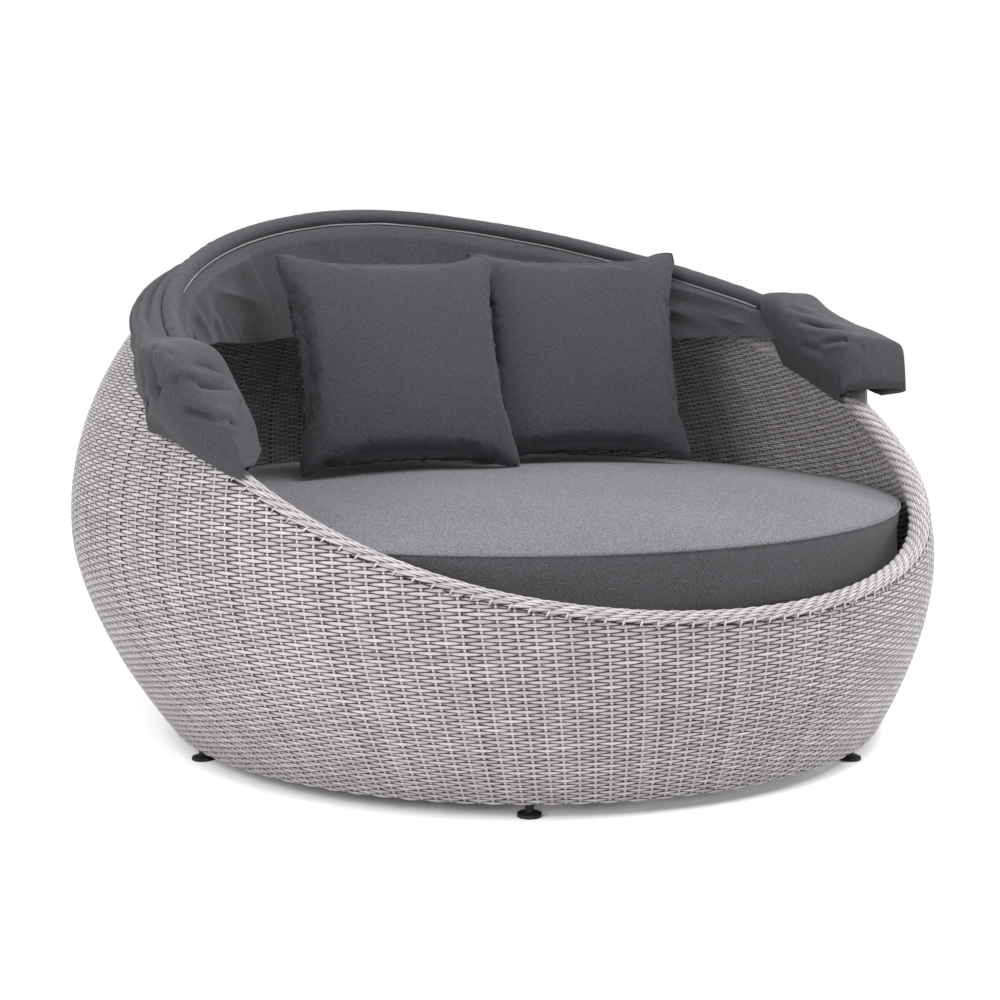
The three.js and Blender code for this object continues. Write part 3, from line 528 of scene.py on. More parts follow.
def lay_strands(name, centre, along, face, reach, row, shade, width=1.0, thickness=1.0):
    """A float on every centre, as one plain mesh: its way along, its face, half its length, the
    height of its row and its shade."""
    holder_mesh = bpy.data.meshes.new(name)
    holder_mesh.from_pydata(centre.tolist(), [], [])
    for key, values, kind, field in [
        ("along", along, "FLOAT_VECTOR", "vector"), ("face", face, "FLOAT_VECTOR", "vector"),
        ("reach", reach, "FLOAT", "value"), ("row", row, "FLOAT", "value"),
        ("shade", shade, "FLOAT", "value"),
    ]:
        layer = holder_mesh.attributes.new(key, kind, "POINT")
        layer.data.foreach_set(field, np.asarray(values, np.float32).ravel())
    holder = link_piece(name + "_points", holder_mesh)
    modifier = holder.modifiers.new("strands", "NODES")
    modifier.node_group = laying
    for key, value in [("Float", float_shape), ("Width", width), ("Thickness", thickness),
                       ("Finish", strand)]:
        modifier[laying_inputs[key]] = value
    shapes = bpy.context.evaluated_depsgraph_get()
    mesh = bpy.data.meshes.new_from_object(
        holder.evaluated_get(shapes), preserve_all_data_layers=True, depsgraph=shapes)
    bpy.data.objects.remove(holder)
    mesh.name = name
    for key in ("along", "face", "reach", "row"):
        layer = mesh.attributes.get(key)
        if layer:
            mesh.attributes.remove(layer)
    return link_piece(name, mesh)


stake_step = 2 * np.pi / stake_count
stake_angles = np.arange(stake_count) * stake_step - np.pi / 2
stake_angles = stake_angles + luck.uniform(-0.05, 0.05, stake_count) * stake_step
stake_edge, _, _, stake_up = rim_frame(stake_angles)
row_levels = [weave_foot + 0.003]
while row_levels[-1] < rim_back[0]:
    slope = float(flare_at(np.array(row_levels[-1])))
    row_levels.append(row_levels[-1] + row_pitch / math.sqrt(1.0 + slope * slope + lean * lean / 2))
row_levels = np.array(row_levels)
row_steps = np.diff(row_levels, append=row_levels[-1] + row_pitch)


def point_values(piece, key, values):
    """Gives every point of a piece a value, which its finish reads."""
    layer = piece.data.attributes.new(key, "FLOAT", "POINT")
    layer.data.foreach_set("value", np.array(values, np.float32))


def skin_floats(name, side, place, out, level, angle, over, parts):
    """The strand floats of one skin, in a few pieces that each take a share of the stakes."""
    rise = np.stack([flare_at(level) * np.cos(angle),
                     lean + flare_at(level) * np.sin(angle), np.ones_like(level)], -1)
    pitch = np.linalg.norm(rise, axis=-1) * row_steps[:, None]
    beside = np.linalg.norm(np.roll(place, -1, axis=1) - place, axis=-1)
    row_tone, float_tone = luck.random(len(row_levels)), luck.random(level.shape)
    tone = 0.35 * row_tone[:, None] + 0.65 * float_tone
    chosen = np.argwhere(over)
    chosen = chosen[np.argsort(chosen[:, 1], kind="stable")]
    for i, share in enumerate(np.array_split(chosen, parts)):
        at = (share[:, 0], share[:, 1])
        jog = luck.uniform(-float_jog, float_jog, len(share))
        tangent = np.stack([-np.sin(angle[at]), np.cos(angle[at]), 0 * angle[at]], -1)
        yield lay_strands(
            f"{name}_strands_{i + 1}", place[at] + jog[:, None] * out[at], tangent,
            side * out[at], beside[at] * float_reach, pitch[at], tone[at])


def skin_stakes(name, side, face_depth, woven):
    """The stakes of one skin: ridged ribbons that dip in wherever a float runs over them."""
    near, deep, half_width, edge_depth = 0.0004, 0.0030, 0.0026, 0.0012
    points, faces = [], []
    for s, angle in enumerate(stake_angles):
        used = np.flatnonzero(woven[:, s])
        if len(used) < 2:
            continue
        start = len(points)
        tangent = np.array([-np.sin(angle), np.cos(angle), 0.0])
        for row in used:
            depth = deep if (row + s) % 2 == 0 else near
            spine, away = wall_point(angle, row_levels[row], face_depth + side * depth)
            for offset, sunk in [(-half_width, edge_depth), (0.0, 0.0), (half_width, edge_depth)]:
                points.append(spine + offset * tangent - side * sunk * away)
        faces.append(start + grid_faces(len(used), 3)[:, ::-side])
    piece = new_piece(f"{name}_stakes", points, np.concatenate(faces), strand)
    point_values(piece, "shade", np.full(len(points), 0.75))
    # Painted shade: the stake edges get a low mask value and are painted darker; the middle keeps its full tone.
    point_values(piece, "painted_shade_mask", np.tile([0.6, 1.15, 0.6], len(points) // 3))
    return piece


def skin_painted_shade(name, side, face_depth, lowest):
    """The thin dark shell behind the strands of one skin, a sheet of painted shade."""
    turns, steps = 120, 28
    around = np.linspace(0, 2 * np.pi, turns, endpoint=False) - np.pi / 2
    edge, _, _, up = rim_frame(around)
    ground_level = max(lowest, weave_foot)
    sheets = []
    for depth in (painted_shade_depth, skin_depth):
        sunk = face_depth + side * depth
        top, foot = rim_level(around), np.full_like(around, ground_level)
        for _ in range(8):
            top = top + np.sum((edge - wall_point(around, top, sunk)[0]) * up, -1) - braid_foot
            foot = foot + ground_level - wall_point(around, foot, sunk)[0][:, 2]
        foot = np.maximum(foot, weave_foot)
        levels = foot + (top - foot) * np.linspace(0, 1, steps)[:, None]
        sheets.append(wall_point(around[None, :], levels, sunk)[0])
    shell = np.concatenate([sheets[0], sheets[1][::-1]])
    shell_faces = grid_faces(len(shell), turns, True, True)[:, ::side]
    return new_piece(f"{name}_lining", shell.reshape(-1, 3), shell_faces, painted_shade_sheet)


for node, side, face_depth, lowest, parts in [
    ("outer_weave", 1, 0.0, weave_foot, 3),
    ("inner_weave", -1, wall_depth, deck_top, 2),
]:
    level, angle = np.meshgrid(row_levels, stake_angles, indexing="ij")
    row, stake = np.indices(level.shape)
    place, out = wall_point(angle, level, face_depth + side * strand_rise)
    drop = np.sum((stake_edge - place) * stake_up, -1)
    woven = (drop > braid_foot - braid_overlap) & (place[..., 2] > lowest)
    over = woven & ((row + stake) % 2 == 0)
    for piece in [
        *skin_floats(node, side, place, out, level, angle, over, parts),
        skin_stakes(node, side, face_depth, woven),
        skin_painted_shade(node, side, face_depth, lowest),
    ]:
        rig.ride(piece, "daybed_frame")
        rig.replaces(piece, node)
        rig.slot(piece, "weave")


# The rim braid: the stake ends are laid along the rim tube as a flat plait, many strands wide,
# which drift slowly over from the outside to the inside. Each stake shows as a small upright
# knot where it enters the plait.
saddle_radius = 0.0222
saddle_leg = 0.016
tube_drop = 0.0218
braid_length = 2 * saddle_leg + math.pi * saddle_radius
braid_rows = 10
plait_foot = 0.0175
plait_end = braid_length - plait_foot
plait_step = (braid_length - 2 * plait_foot) / braid_rows


def saddle(angle, reach, lift):
    """A point on the rim saddle, a reach round it from the outer foot, and its frame."""
    edge, along, out, up = rim_frame(angle)
    turn = np.clip((reach - saddle_leg) / saddle_radius, 0, math.pi)
    spare = np.where(reach < saddle_leg, reach - saddle_leg,
                     np.clip(reach - saddle_leg - math.pi * saddle_radius, 0, None))
    way = np.cos(turn)[:, None] * out + np.sin(turn)[:, None] * up
    across = -np.sin(turn)[:, None] * out + np.cos(turn)[:, None] * up
    heart = edge - wall_depth / 2 * out - tube_drop * up
    point = heart + (saddle_radius + lift)[:, None] * way + spare[:, None] * across
    return point, along, way, across


row, stake = np.indices((braid_rows, stake_count)).reshape(2, -1)
drift, strand_slant, strand_overlap = 0.38, 0.13, 1.75
angle = (stake + drift * row) * stake_step
reach = plait_foot + (row + 0.5) * plait_step
sunk = np.full(len(row), -0.0014)
place, along, way, across = saddle(angle, reach, sunk)
ahead = saddle(angle + stake_step / 2, reach, sunk)[0]
half_length = np.linalg.norm(ahead - place, axis=-1) * strand_overlap
braid = lay_strands(
    "rim_plait", place, along + strand_slant * across, way, half_length,
    np.full(len(row), plait_step),
    luck.random(len(row)) * 0.6, width=0.74, thickness=1.5)

knot_half_length, knot_width, knot_slant = 0.0075, 0.0050, 0.35
knot_angle = np.tile(stake_angles, 2)
knot_reach = np.repeat([plait_foot - 0.001, plait_end + 0.001], stake_count)
place, along, way, across = saddle(knot_angle, knot_reach, np.full(len(knot_angle), -0.0006))
knots = lay_strands(
    "rim_knots", place, across + knot_slant * along, way, np.full(len(place), knot_half_length),
    np.full(len(place), knot_width), luck.random(len(place)) * 0.3 + 0.7, width=0.8,
    thickness=1.2)

# The core under the plait is painted shade: a dark tube in the painted shade finish, seen through the gaps between
# strands.
core_turns = 240
core_turn = np.linspace(0, 2 * np.pi, core_turns, endpoint=False)
core_top = [(reach, -0.0042) for reach in np.linspace(plait_foot - 0.004, plait_end + 0.004, 15)]
core_back = [(reach, -0.009) for reach in np.linspace(plait_end, plait_foot, 15)]
core_lines = [saddle(core_turn, np.full(core_turns, reach), np.full(core_turns, lift))[0]
              for reach, lift in core_top + core_back]
painted_shade_core = new_piece("rim_core", np.concatenate(core_lines),
                 grid_faces(len(core_lines), core_turns, True, True), painted_shade_sheet)
for piece in (braid, knots, painted_shade_core):
    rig.ride(piece, "daybed_frame")
    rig.replaces(piece, "rim_braid")
    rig.slot(piece, "weave")


# The welded frame under the weave: hoops, ribs, rail and slats of round and square tube, all
# powder coated in one warm grey.
def grained_finish(name, scale, tones, roughness, metallic=0.0, relief=0.0, run=(1.0, 1.0, 1.0)):
    """A hard finish with a fine grain between two tones and two values of roughness."""
    finish = Finish(bpy.data.materials.new(name))
    grain = finish.noise(finish.stretch(finish.place(), run), scale)
    smoothest, roughest = roughness
    inputs = {
        "Base Color": finish.tint(grain, *tones),
        "Roughness": grain * (roughest - smoothest) + smoothest,
        "Metallic": metallic,
    }
    if relief:
        inputs["Normal"] = finish.bump(grain, relief, 0.0003)
    return finish.end(finish.surface(inputs))


def finish_node(name, finish):
    """Gives a solid of the frame its finish."""
    for place in frame["nodes"][name].material_slots:
        place.material = finish


coated = grained_finish("powder coat", 900.0, [(0.22, 0.21, 0.21, 1.0), (0.29, 0.28, 0.28, 1.0)],
                        (0.42, 0.57), relief=0.15)
framed = ("base_ring", "deck_", "rim_tube", "wall_rib", "centre_post")
for name in frame["nodes"]:
    if name.startswith(framed) or name.endswith("canopy_bracket"):
        finish_node(name, coated)


# The feet: moulded black plastic glides under the base ring and a round foot in the middle,
# slightly shiny, with a fine grain.
moulded = grained_finish(
    "moulded black plastic", 700.0, [(0.012, 0.012, 0.013, 1.0), (0.022, 0.022, 0.023, 1.0)],
    (0.45, 0.65), relief=0.2)
for name in frame["nodes"]:
    if name.startswith(("foot_glide", "centre_foot")):
        finish_node(name, moulded)


# The pivots: bright zinc bolts, cap nuts and spacers, one stack on each side, which hold the
# ends of the bows. The bows are drawn aluminium tube with a duller shine.
plated = grained_finish(
    "bright zinc", 300.0, [(0.72, 0.73, 0.75, 1.0), (0.86, 0.87, 0.89, 1.0)],
    (0.18, 0.33), metallic=1.0, run=(8.0, 1.0, 1.0))
bow_finish = grained_finish(
    "drawn aluminium", 260.0, [(0.42, 0.42, 0.43, 1.0), (0.5, 0.5, 0.51, 1.0)],
    (0.3, 0.5), metallic=0.9)
for name in frame["nodes"]:
    if "pivot" in name:
        finish_node(name, plated)
    elif name.endswith("canopy_bow"):
        finish_node(name, bow_finish)


# Cloth: charcoal outdoor canvas, two grey yarns woven plain, so that it looks heathered, with a
# soft dry surface. The seat, the pillows and the canopy each have their own depth of grey.
def canvas_finish(name, light, dark, warp_scale=(900.0, 900.0, 120.0)):
    """Canvas between two greys; the point value "side" darkens it towards black as painted shade."""
    finish = Finish(bpy.data.materials.new(name))
    place = finish.place()
    warp = finish.noise(finish.stretch(place, warp_scale), 1.0, 1.0)
    weft = finish.noise(finish.stretch(place, (300.0, 1000.0, 1000.0)), 1.0, 1.0)
    cloud = finish.noise(place, 3.5, 2.0)
    share = finish.node("ShaderNodeMapRange", {}, {
        "Value": warp * 0.66 + weft * 0.34 + cloud * 0.08, "From Min": 0.32, "From Max": 0.78,
    })
    heather = finish.tint(share, dark, light)
    # Painted shade: the near-black colour that the boxed side is pushed towards.
    painted_side_shade = (0.03, 0.03, 0.034, 1.0)
    return finish.end(finish.surface({
        "Base Color": finish.tint(finish.shade("side") * 0.45, heather, painted_side_shade),
        "Roughness": 0.9,
        "Sheen Weight": 0.1,
        "Sheen Roughness": 0.4,
        "Specular IOR Level": 0.2,
        "Normal": finish.bump(warp, 0.06, 0.0003),
    }))


seat_cloth = canvas_finish(
    "seat canvas", (0.36, 0.36, 0.385, 1.0), (0.03, 0.03, 0.034, 1.0), (700.0, 140.0, 600.0))
pillow_cloth = canvas_finish(
    "pillow canvas", (0.112, 0.112, 0.125, 1.0), (0.022, 0.022, 0.026, 1.0))
canopy_cloth = canvas_finish(
    "canopy canvas", (0.125, 0.125, 0.138, 1.0), (0.045, 0.045, 0.05, 1.0))


# The seat cushion: one round boxed pad, crowned on top, with a welt sewn round it at the seam.
# Its side is painted darker than its top as shade, and the cloth puckers a little along the seam.
cushion_radius, cushion_y, cushion_foot = 0.8286, 0.0904, 0.3321
seam_height, crown_height = 0.128, 0.045
welt_reach, welt_radius = 0.8288, 0.0026
turns_round = 288
around = np.linspace(0, 2 * np.pi, turns_round, endpoint=False)
# Radius and height, from the middle of the underside up to the seam, then over the crown
profile = [(0.0, 0.0), (0.4, 0.0), (0.72, 0.0), (0.8, 0.0), (0.816, 0.004), (0.8255, 0.012),
           (0.8275, 0.024), (0.826, 0.045), (0.8245, 0.064), (0.825, 0.085), (0.8275, 0.105),
           (0.8285, 0.118), (0.8275, 0.1255), (0.8262, 0.128), (0.8245, 0.1315)]
profile += [(cushion_radius * math.cos(turn),
             seam_height + crown_height * (1 - math.cos(turn) ** 2) ** 0.75)
            for turn in np.linspace(0.14, math.pi / 2, 34)]


def level_ring(radius, height):
    """A ring of the cushion, at a height above its foot."""
    return np.stack([radius * np.cos(around), cushion_y + radius * np.sin(around),
                     cushion_foot + height + 0 * around], -1)


rings = []
for radius, height in profile:
    share = radius / cushion_radius
    near_seam = math.exp(-((height - seam_height) / 0.02) ** 2)
    pucker = 0.0012 * np.sin(61 * around) * np.sin(23 * around + 1) * near_seam
    swell = 0.003 * np.sin(3 * around + 4 * share) * share * (1 - share) * 4 * (height > 0.13)
    rings.append(level_ring(radius + pucker * (radius > 0.5), height + swell))
pad_points = np.concatenate(rings[1:-1] + [rings[0][:1], rings[-1][:1]])
ring_count = len(profile) - 2
pad_faces = grid_faces(ring_count, turns_round, closed_columns=True).tolist()
foot_pole, top_pole = ring_count * turns_round, ring_count * turns_round + 1
last = (ring_count - 1) * turns_round
for j in range(turns_round):
    after = (j + 1) % turns_round
    pad_faces.append([after, j, foot_pole])
    pad_faces.append([last + j, last + after, top_pole])
cushion = new_piece("round_seat_pad", pad_points, pad_faces, seat_cloth)
# Painted shade: the boxed side below the seam is marked to be painted darker than the top.
point_values(cushion, "side", pad_points[:, 2] < cushion_foot + seam_height - 0.001)
welt_rings = [level_ring(welt_reach + welt_radius * math.cos(turn),
                         seam_height - 0.0005 + welt_radius * math.sin(turn))
              for turn in np.linspace(0, 2 * np.pi, 8, endpoint=False)]
welt = new_piece("seat_pad_welt", np.concatenate(welt_rings),
                 grid_faces(8, turns_round, True, True)[:, ::-1], seat_cloth)
for piece in (welt, cushion):
    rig.ride(piece, "daybed_frame")
    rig.replaces(piece, "seat_cushion")
    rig.slot(piece, "seat_cloth")
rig.padded(cushion, fill=0.85)


# The canopy bows: three half ellipses of 22 mm tube, nested outwards from front to rear, each
# end pressed flat to an eye on the pivot bolt.
pivot_y, pivot_z = -0.155, 0.7685
bow_names = ["front", "middle", "rear"]
bow_power, bow_radius, first_side = 1.78, 0.011, 0.7848
step_out, step_down, step_back = 0.027, 0.0295, 0.02
apex_back = back_y - 0.054 - pivot_y
apex_rise = rim_back[0] + 0.077 - pivot_z


def unit(vectors):
    return vectors / np.linalg.norm(vectors, axis=-1, keepdims=True)


def smooth(share):
    """A share kept between 0 and 1, eased at both ends."""
    share = np.clip(share, 0, 1)
    return share * share * (3 - 2 * share)


def bow_apex(bow):
    """How far above the pivots and behind them a bow reaches."""
    return apex_rise - step_down * bow, apex_back + step_back * bow


def bow_side(bow):
    """How far out to the side the ends of a bow sit."""
    return first_side + step_out * bow


def bow_line(bow, x, run):
    """A point in a bow's plane, a run away from the line through the pivots."""
    tilt = math.atan2(*bow_apex(bow))
    y, z = pivot_y + run * math.cos(tilt), pivot_z + run * math.sin(tilt)
    return np.stack([x + 0 * run, y, z], -1)


def bow_at(bow, turn):
    """A point of a bow's centre line, from the right end at 0 over the top to the left at pi."""
    turn = np.clip(turn, 0.0, np.pi)
    side = bow_side(bow) * np.sign(np.cos(turn)) * np.abs(np.cos(turn)) ** (2 / bow_power)
    run = math.hypot(*bow_apex(bow)) * np.abs(np.sin(turn)) ** (2 / bow_power)
    return bow_line(bow, side, run)


def bow_frame(bow, turn):
    """The bow's centre line, along it, outwards in its plane and up across its plane."""
    along = unit(bow_at(bow, turn + 0.004) - bow_at(bow, turn - 0.004))
    tilt = math.atan2(*bow_apex(bow))
    up = np.broadcast_to(np.array([0.0, -math.sin(tilt), math.cos(tilt)]), along.shape)
    return bow_at(bow, turn), along, unit(np.cross(along, up)), up


def ring_piece(name, rings, finish):
    """A closed body through a row of closed rings."""
    rows, columns = rings.shape[:2]
    points = np.concatenate([rings.reshape(-1, 3), rings[[0, -1]].mean(1)])
    faces = grid_faces(rows, columns, closed_columns=True).tolist()
    last = (rows - 1) * columns
    for j in range(columns):
        faces.append([(j + 1) % columns, j, rows * columns])
        faces.append([last + j, last + (j + 1) % columns, rows * columns + 1])
    return new_piece(name, points, faces, finish)


eye_radius, eye_half_depth, eye_neck, eye_taper = 0.014, 0.004, 0.022, 0.046
eye_runs = np.array([-0.014, -0.012, -0.006, 0.0, 0.012, eye_neck])
eye_widths = np.sqrt(np.clip(eye_radius ** 2 - np.clip(-eye_runs, 0, None) ** 2, 0.001 ** 2, None))
eye_depths = np.full(len(eye_runs), eye_half_depth)
tube_start = 0.03
section = np.linspace(0, 2 * np.pi, 20, endpoint=False)
bow_turn = np.linspace(0, np.pi, 181)
for bow, which in enumerate(bow_names):
    centre, _, out, up = bow_frame(bow, bow_turn)
    run = np.linalg.norm(centre - bow_line(bow, centre[:, 0], 0 * bow_turn), axis=-1)
    kept = run > tube_start
    centre, out, up = centre[kept], out[kept], up[kept]
    round_share = smooth((run[kept] - eye_neck) / eye_taper)
    right, left = (bow_line(bow, side * bow_side(bow), eye_runs) for side in (1.0, -1.0))
    sideways = np.broadcast_to(np.array([1.0, 0.0, 0.0]), right.shape)
    spine = np.concatenate([right, centre, left[::-1]])
    ways = np.concatenate([sideways, out, -sideways])
    depths = eye_half_depth + (bow_radius - eye_half_depth) * round_share
    depths = np.concatenate([eye_depths, depths, eye_depths])
    widths = eye_radius + (bow_radius - eye_radius) * round_share
    widths = np.concatenate([eye_widths, widths, eye_widths[::-1]])
    rings = (spine[:, None] + (np.cos(section) * depths[:, None])[..., None] * ways[:, None]
             + (np.sin(section) * widths[:, None])[..., None] * up[0])
    tube = ring_piece(f"{which}_canopy_bow_tube", rings, bow_finish)
    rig.ride(tube, f"canopy_{which}")
    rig.replaces(tube, f"{which}_canopy_bow")
    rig.slot(tube, "bow")


# The canopy sleeve: cloth sewn round the front bow from pivot to pivot, gathered in short soft
# creases, with a paler piping along the hem on its inner, lower side.
def spread(table, count):
    """A smooth run of values or points through an evenly spaced table."""
    table = np.asarray(table, float)
    place = np.linspace(0, len(table) - 1, count)
    i = np.minimum(place.astype(int), len(table) - 2)
    t = (place - i).reshape((-1,) + (1,) * (table.ndim - 1))
    before, after = table[np.maximum(i - 1, 0)], table[np.minimum(i + 2, len(table) - 1)]
    start, end = table[i], table[i + 1]
    return 0.5 * (2 * start + (end - before) * t
                  + (2 * before - 5 * start + 4 * end - after) * t ** 2
                  + (3 * start - before - 3 * end + after) * t ** 3)


def flat_piece(name, front, back, finish):
    """A closed sheet between two grids of points, its edges sewn shut."""
    rings = np.concatenate([front, back[:, ::-1]], axis=1)
    rows, columns = rings.shape[:2]
    faces = grid_faces(rows, columns, closed_columns=True).tolist()
    last = (rows - 1) * columns
    for j in range(columns // 2 - 1):
        faces.append([j + 1, j, columns - 1 - j, columns - 2 - j])
        faces.append([last + j, last + j + 1, last + columns - 2 - j, last + columns - 1 - j])
    return new_piece(name, rings.reshape(-1, 3), faces, finish)


def cloth_piece(name, grid, finish, thickness=0.0016):
    """A thin closed sheet through a grid of points."""
    face = unit(np.cross(np.gradient(grid, axis=0), np.gradient(grid, axis=1))) * thickness / 2
    return flat_piece(name, grid + face, grid - face, finish)


def cord_piece(name, points, radius, finish):
    """A round cord along a row of points."""
    along = unit(np.gradient(points, axis=0))
    side = unit(np.cross(along, np.array([0.03, 0.05, 1.0])))
    up = np.cross(side, along)
    circle = np.linspace(0, 2 * np.pi, 8, endpoint=False)
    rings = points[:, None] + radius * (
        np.cos(circle)[:, None] * side[:, None] + np.sin(circle)[:, None] * up[:, None])
    return ring_piece(name, rings, finish)


def crease(grid, line, depth, width):
    """How far a sharp crease presses the cloth in at each point, fading at the line's ends."""
    line = np.array(line, float) / 1000.0
    runs = np.linalg.norm(np.diff(line, axis=0), axis=-1)
    before = np.concatenate([[0], np.cumsum(runs)])
    nearest, along = np.full(grid.shape[:-1], 1.0), np.zeros(grid.shape[:-1])
    for k, (start, end) in enumerate(zip(line, line[1:])):
        run = end - start
        share = np.clip((grid - start) @ run / (run @ run), 0, 1)
        away = np.linalg.norm(grid - start - share[..., None] * run, axis=-1)
        closer = away < nearest
        nearest = np.where(closer, away, nearest)
        along = np.where(closer, (before[k] + share * runs[k]) / before[-1], along)
    fade = np.sin(np.pi * np.clip(along, 0, 1)) ** 0.6
    shoulder = np.exp(-((nearest - 2.4 * width) / (1.6 * width)) ** 2)
    valley = 0.55 * np.exp(-nearest / width) + 0.45 * np.exp(-nearest / (0.35 * width))
    return depth * fade * (0.25 * shoulder - valley)


def pressed(grid, creases, flip=1.0):
    """The grid with creases pressed in. Each has its line in millimetres, depth and width."""
    face = unit(np.cross(np.gradient(grid, axis=0), np.gradient(grid, axis=1))) * flip
    depth = sum(crease(grid, *each) for each in creases)
    return grid + depth[..., None] * face


def waves(turn, seed, low, high):
    """A run of soft uneven waves from -1 to 1."""
    count = 6
    source = np.random.default_rng(seed)
    total = 0.0
    for _ in range(count):
        pace, start = source.uniform(low, high), source.uniform(0, 6.3)
        total = total + np.sin(turn * pace + start) / count
    return total * 1.7


sleeve_turn = np.linspace(0.3366, np.pi - 0.1122, 520)
sleeve_radius, hem_radius, piping_radius = 0.0164, 0.0185, 0.0023
centre, along, out, up = bow_frame(0, sleeve_turn)
sleeve_core = centre + 0.0047 * unit(centre - bow_at(1, sleeve_turn))
left_end = np.clip((sleeve_turn - 2.2) / 0.3, 0, 1)
right_end = np.clip((0.8 - sleeve_turn) / 0.3, 0, 1)
gather = 0.2 + 0.8 * left_end + 0.6 * right_end
ring_turn = np.linspace(math.radians(252), math.radians(252 - 352), 44)
crinkle = waves(sleeve_turn, 3, 60, 190)[:, None] * waves(ring_turn, 5, 0.6, 2.2)[None, :]
reach = (sleeve_radius + 0.0022 * gather[:, None] * crinkle
         + 0.0005 * waves(sleeve_turn, 8, 8, 30)[:, None])
sleeve_grid = sleeve_core[:, None] + reach[..., None] * (
    np.cos(ring_turn)[:, None] * out[:, None] + np.sin(ring_turn)[:, None] * up[:, None])
sleeve = cloth_piece("canopy_sleeve_cloth", sleeve_grid, canopy_cloth, 0.0014)
piping_cloth = canvas_finish("piping canvas", (0.62, 0.62, 0.64, 1.0), (0.3, 0.3, 0.31, 1.0))
hem_turn = math.radians(229) + 0.1 * waves(sleeve_turn, 11, 9, 34)
hem = sleeve_core + hem_radius * (
    np.cos(hem_turn)[:, None] * out + np.sin(hem_turn)[:, None] * up)
piping = cord_piece("canopy_hem_piping", hem[8:-60], piping_radius, piping_cloth)
for piece in (sleeve, piping):
    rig.ride(piece, "canopy_front")
    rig.slot(piece, "canopy_cloth")
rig.replaces(sleeve, "canopy_front_sleeve")
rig.sheet(sleeve, flat=(0.1, 2.62), held="stretched", rests_on=["front_canopy_bow"],
         with_pieces=[piping])


# The inner drape: the canopy's front gore, hanging in loose folds inside the bows, with one
# lapped edge and fan creases towards the left pivot.
def ripples(turn):
    """How far the cloth swings out in even folds along a bow."""
    return 0.009 * (1 - np.cos(24 * turn)) / 2


drape_turn = np.linspace(0.31, np.pi - 0.18, 420)
drape_top, hem_level, lap_depth = 0.0175, 0.770, 0.011
centre, along, out, up = bow_frame(0, drape_turn)
inward = -unit(out * np.array([1.0, 1.0, 0.0]))
fall = np.linspace(0, 1, 64)
hem_drop = (np.maximum(centre[:, 2] - hem_level, 0.03) + 0.006 * waves(drape_turn, 21, 5, 16)
            - 0.010)
swing = ripples(drape_turn) + 0.004 * waves(drape_turn, 22, 14, 50)
reach_in = 0.012 + 0.0129 * np.clip(fall / 0.1, 0, 1) ** 0.5
drape = (centre[:, None] + reach_in[None, :, None] * inward[:, None]
         + (swing[:, None] * fall[None] ** 0.8)[..., None] * inward[:, None])
drape[..., 2] = centre[:, None, 2] - drape_top - (hem_drop[:, None] - drape_top) * fall[None]
lap_edge = np.array([(-328, 785), (-322, 824), (-336, 871), (-386, 938), (-400, 975)]) / 1000
edge_x = np.interp(drape[..., 2], lap_edge[:, 1], lap_edge[:, 0])
lap = 1 / (1 + np.exp(np.clip((drape[..., 0] - edge_x) / 0.0013, -30, 30)))
lap = lap * np.clip((fall - 0.02) / 0.08, 0, 1)
drape = drape + lap_depth * lap[..., None] * inward[:, None]
drape = pressed(drape, [
    ([(-700, 150, 850), (-643, 234, 812), (-610, 285, 775)], 0.015, 0.0081),
    ([(-640, 245, 862), (-592, 309, 827), (-560, 345, 785)], 0.018, 0.0090),
    ([(-560, 360, 850), (-522, 408, 824), (-500, 432, 785)], 0.015, 0.0081),
    ([(-500, 430, 835), (-470, 460, 780)], 0.012, 0.0072),
    ([(-452, 472, 812), (-434, 487, 772)], 0.009, 0.0063),
    ([(-560, 350, 900), (-440, 480, 880), (-360, 552, 860)], 0.007, 0.0144),
    ([(-250, 620, 960), (-100, 668, 900)], 0.006, 0.0180),
    ([(560, 350, 860), (660, 200, 800)], 0.012, 0.0108),
    ([(600, 296, 850), (690, 140, 812)], 0.009, 0.0090),
], -1.0)
front_drape = cloth_piece("canopy_inner_drape", drape, canopy_cloth)
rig.slot(front_drape, "canopy_cloth")
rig.replaces(front_drape, "canopy_front_panel")
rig.sheet(front_drape, flat=(2.45, 0.22), held="hung", rests_on=["canopy_front_sleeve"], area=0.40)


def across_bow(bow, below):
    """A point below the plane of a bow, at its middle."""
    tilt, run = math.atan2(*bow_apex(bow)), 0.6
    return (0.0, pivot_y + run * math.cos(tilt) + below * math.sin(tilt),
            pivot_z + run * math.sin(tilt) - below * math.cos(tilt))


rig.blend(front_drape, "canopy_middle", "canopy_front", across_bow(0, 0.16), across_bow(0, 0.014))


# The outer folds: the rear gore comes down over the rear bow and, at the back, over the rim; the
# middle gore is a shorter fold from the middle bow over the rear one.
fold_turn = np.linspace(0.345, np.pi - 0.07, 440)
bow_seat = bow_radius / math.cos(math.pi / 8) + 0.0023
rim_clearance = 0.009
rear_line, rear_along, rear_out, _ = bow_frame(2, fold_turn)
rim_turn = np.arctan2(rear_line[:, 1], rear_line[:, 0])
for _ in range(8):
    rim_middle = lean * (rim_level(rim_turn) - weave_foot)
    rim_turn = np.arctan2(rear_line[:, 1] - rim_middle, rear_line[:, 0])


